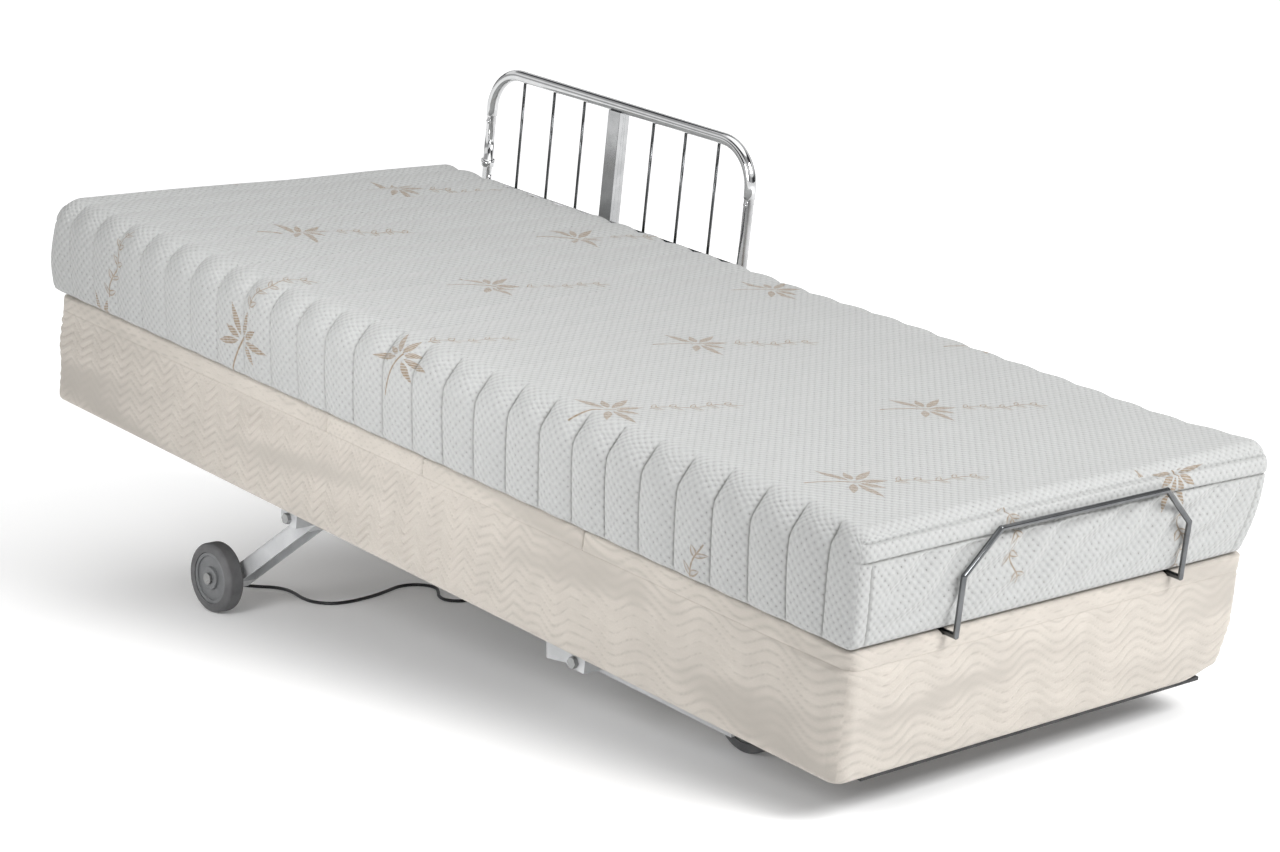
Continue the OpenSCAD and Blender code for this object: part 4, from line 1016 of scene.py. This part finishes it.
def floor_paint():
    mat, n, shader = material("floor_paint", Roughness=0.75, Specular_IOR_Level=0.2)
    shader.inputs["Base Color"].default_value = rgba(0.9, 0.9, 0.9)
    shader.inputs["Emission Color"].default_value = rgba(1, 1, 1)
    place = n.add("ShaderNodeTexCoord").outputs["Object"]
    away = n.vector("LENGTH", n.vector("SUBTRACT", place, GLOW_ROUND))
    strength = n.mapped(away, GLOW_NEAR[0], GLOW_FAR[0], GLOW_NEAR[1], GLOW_FAR[1])
    n.put(strength, shader.inputs["Emission Strength"])
    return mat


h = FLOOR_HALF
floor_data = bpy.data.meshes.new("floor")
floor_data.from_pydata([(-h, -h, 0), (h, -h, 0), (h, h, 0), (-h, h, 0)], [], [(0, 1, 2, 3)])
floor_data.materials.append(floor_paint())
floor = new_object("floor", floor_data)
floor.location.z = CAD_BOX[0][2] - FLOOR_GAP


# ---------------------------------------------------------------- world and lights

# The sky is darkest towards the near side and the head, and brighter with height
DARK_WAY, DARK_SHARE = (-0.5, -0.85, 0.0), 0.1
SKY_LOW, SKY_HIGH = 0.24, 0.74
# What shiny metal reflects: white, with dark bands round it
BAND_TINT = rgba(0.045, 0.045, 0.05)
WHITE = rgba(1, 1, 1)
BACKDROP_STRENGTH = 1.02
# Soft boxes by name: place, what they face, size and power
SOFT_BOXES = {
    "key": ((4.1, 0.5, 3.1), (0.6, 0, 0.4), (2.2, 1.8), 205),
    "top": ((0.6, 0.5, 4.2), (0.3, 0.1, 0.4), (3.4, 2.6), 6),
    "side": ((0.05, -1.7, 1.0), (0.05, -0.45, 0.3), (0.8, 0.6), 15),
}
SUN_POWER, SUN_ANGLE = 0.65, math.radians(70)


def glow(n, node, colour, strength):
    """A background node's shader, with its colour and strength set."""
    n.put(colour, node.inputs[0])
    n.put(strength, node.inputs[1])
    return node.outputs[0]


def either(n, share, first, second):
    """The first shader, or the second where share is 1."""
    node = n.add("ShaderNodeMixShader")
    for k, value in enumerate((share, first, second)):
        n.put(value, node.inputs[k])
    return node.outputs[0]


def studio():
    """One sky that lights the bed, another that metal reflects, and a plain white one behind it all."""
    world = bpy.data.worlds.new("studio")
    world.use_nodes = True
    n = Nodes(world.node_tree)
    where = n.add("ShaderNodeTexCoord").outputs["Generated"]
    x, y, z = n.split(where)
    darkward = n.vector("DOT_PRODUCT", where, DARK_WAY)
    strength = n.math(
        "MULTIPLY", n.mapped(darkward, 0.0, 1.0, 1.0, DARK_SHARE), n.mapped(z, 0.0, 1.0, SKY_LOW, SKY_HIGH)
    )
    bands = n.math("SINE", n.math("ADD", n.math("MULTIPLY", z, 11.0), n.math("MULTIPLY", x, 1.2)))
    sides = n.math("SINE", n.math("MULTIPLY", n.math("ARCTAN2", y, x), 3.0))
    dark = n.math("MULTIPLY", n.mapped(bands, -0.25, 0.15), n.mapped(sides, -0.6, 0.2, 0.55, 1.0))
    path = n.add("ShaderNodeLightPath").outputs
    sky = glow(n, world.node_tree.nodes["Background"], WHITE, strength)
    shiny = glow(n, n.add("ShaderNodeBackground"), n.mix(dark, WHITE, BAND_TINT), 1.0)
    backdrop = glow(n, n.add("ShaderNodeBackground"), WHITE, BACKDROP_STRENGTH)
    seen = either(n, path["Is Glossy Ray"], sky, shiny)
    seen = either(n, path["Is Camera Ray"], seen, backdrop)
    n.put(seen, world.node_tree.nodes["World Output"].inputs[0])
    bpy.context.scene.world = world


def soft_box(name, place, target, size, power):
    data = bpy.data.lights.new(name, "AREA")
    data.shape = "RECTANGLE"
    data.size, data.size_y = size
    data.energy = power
    lamp = new_object(name, data)
    lamp.location = place
    lamp.rotation_mode = "QUATERNION"
    lamp.rotation_quaternion = (Vector(target) - Vector(place)).to_track_quat("-Z", "Y")
    lamp.visible_camera = False


studio()
for name, settings in SOFT_BOXES.items():
    soft_box(name, *settings)
sun = bpy.data.lights.new("overhead", "SUN")
sun.energy = SUN_POWER
sun.angle = SUN_ANGLE
new_object("overhead", sun)
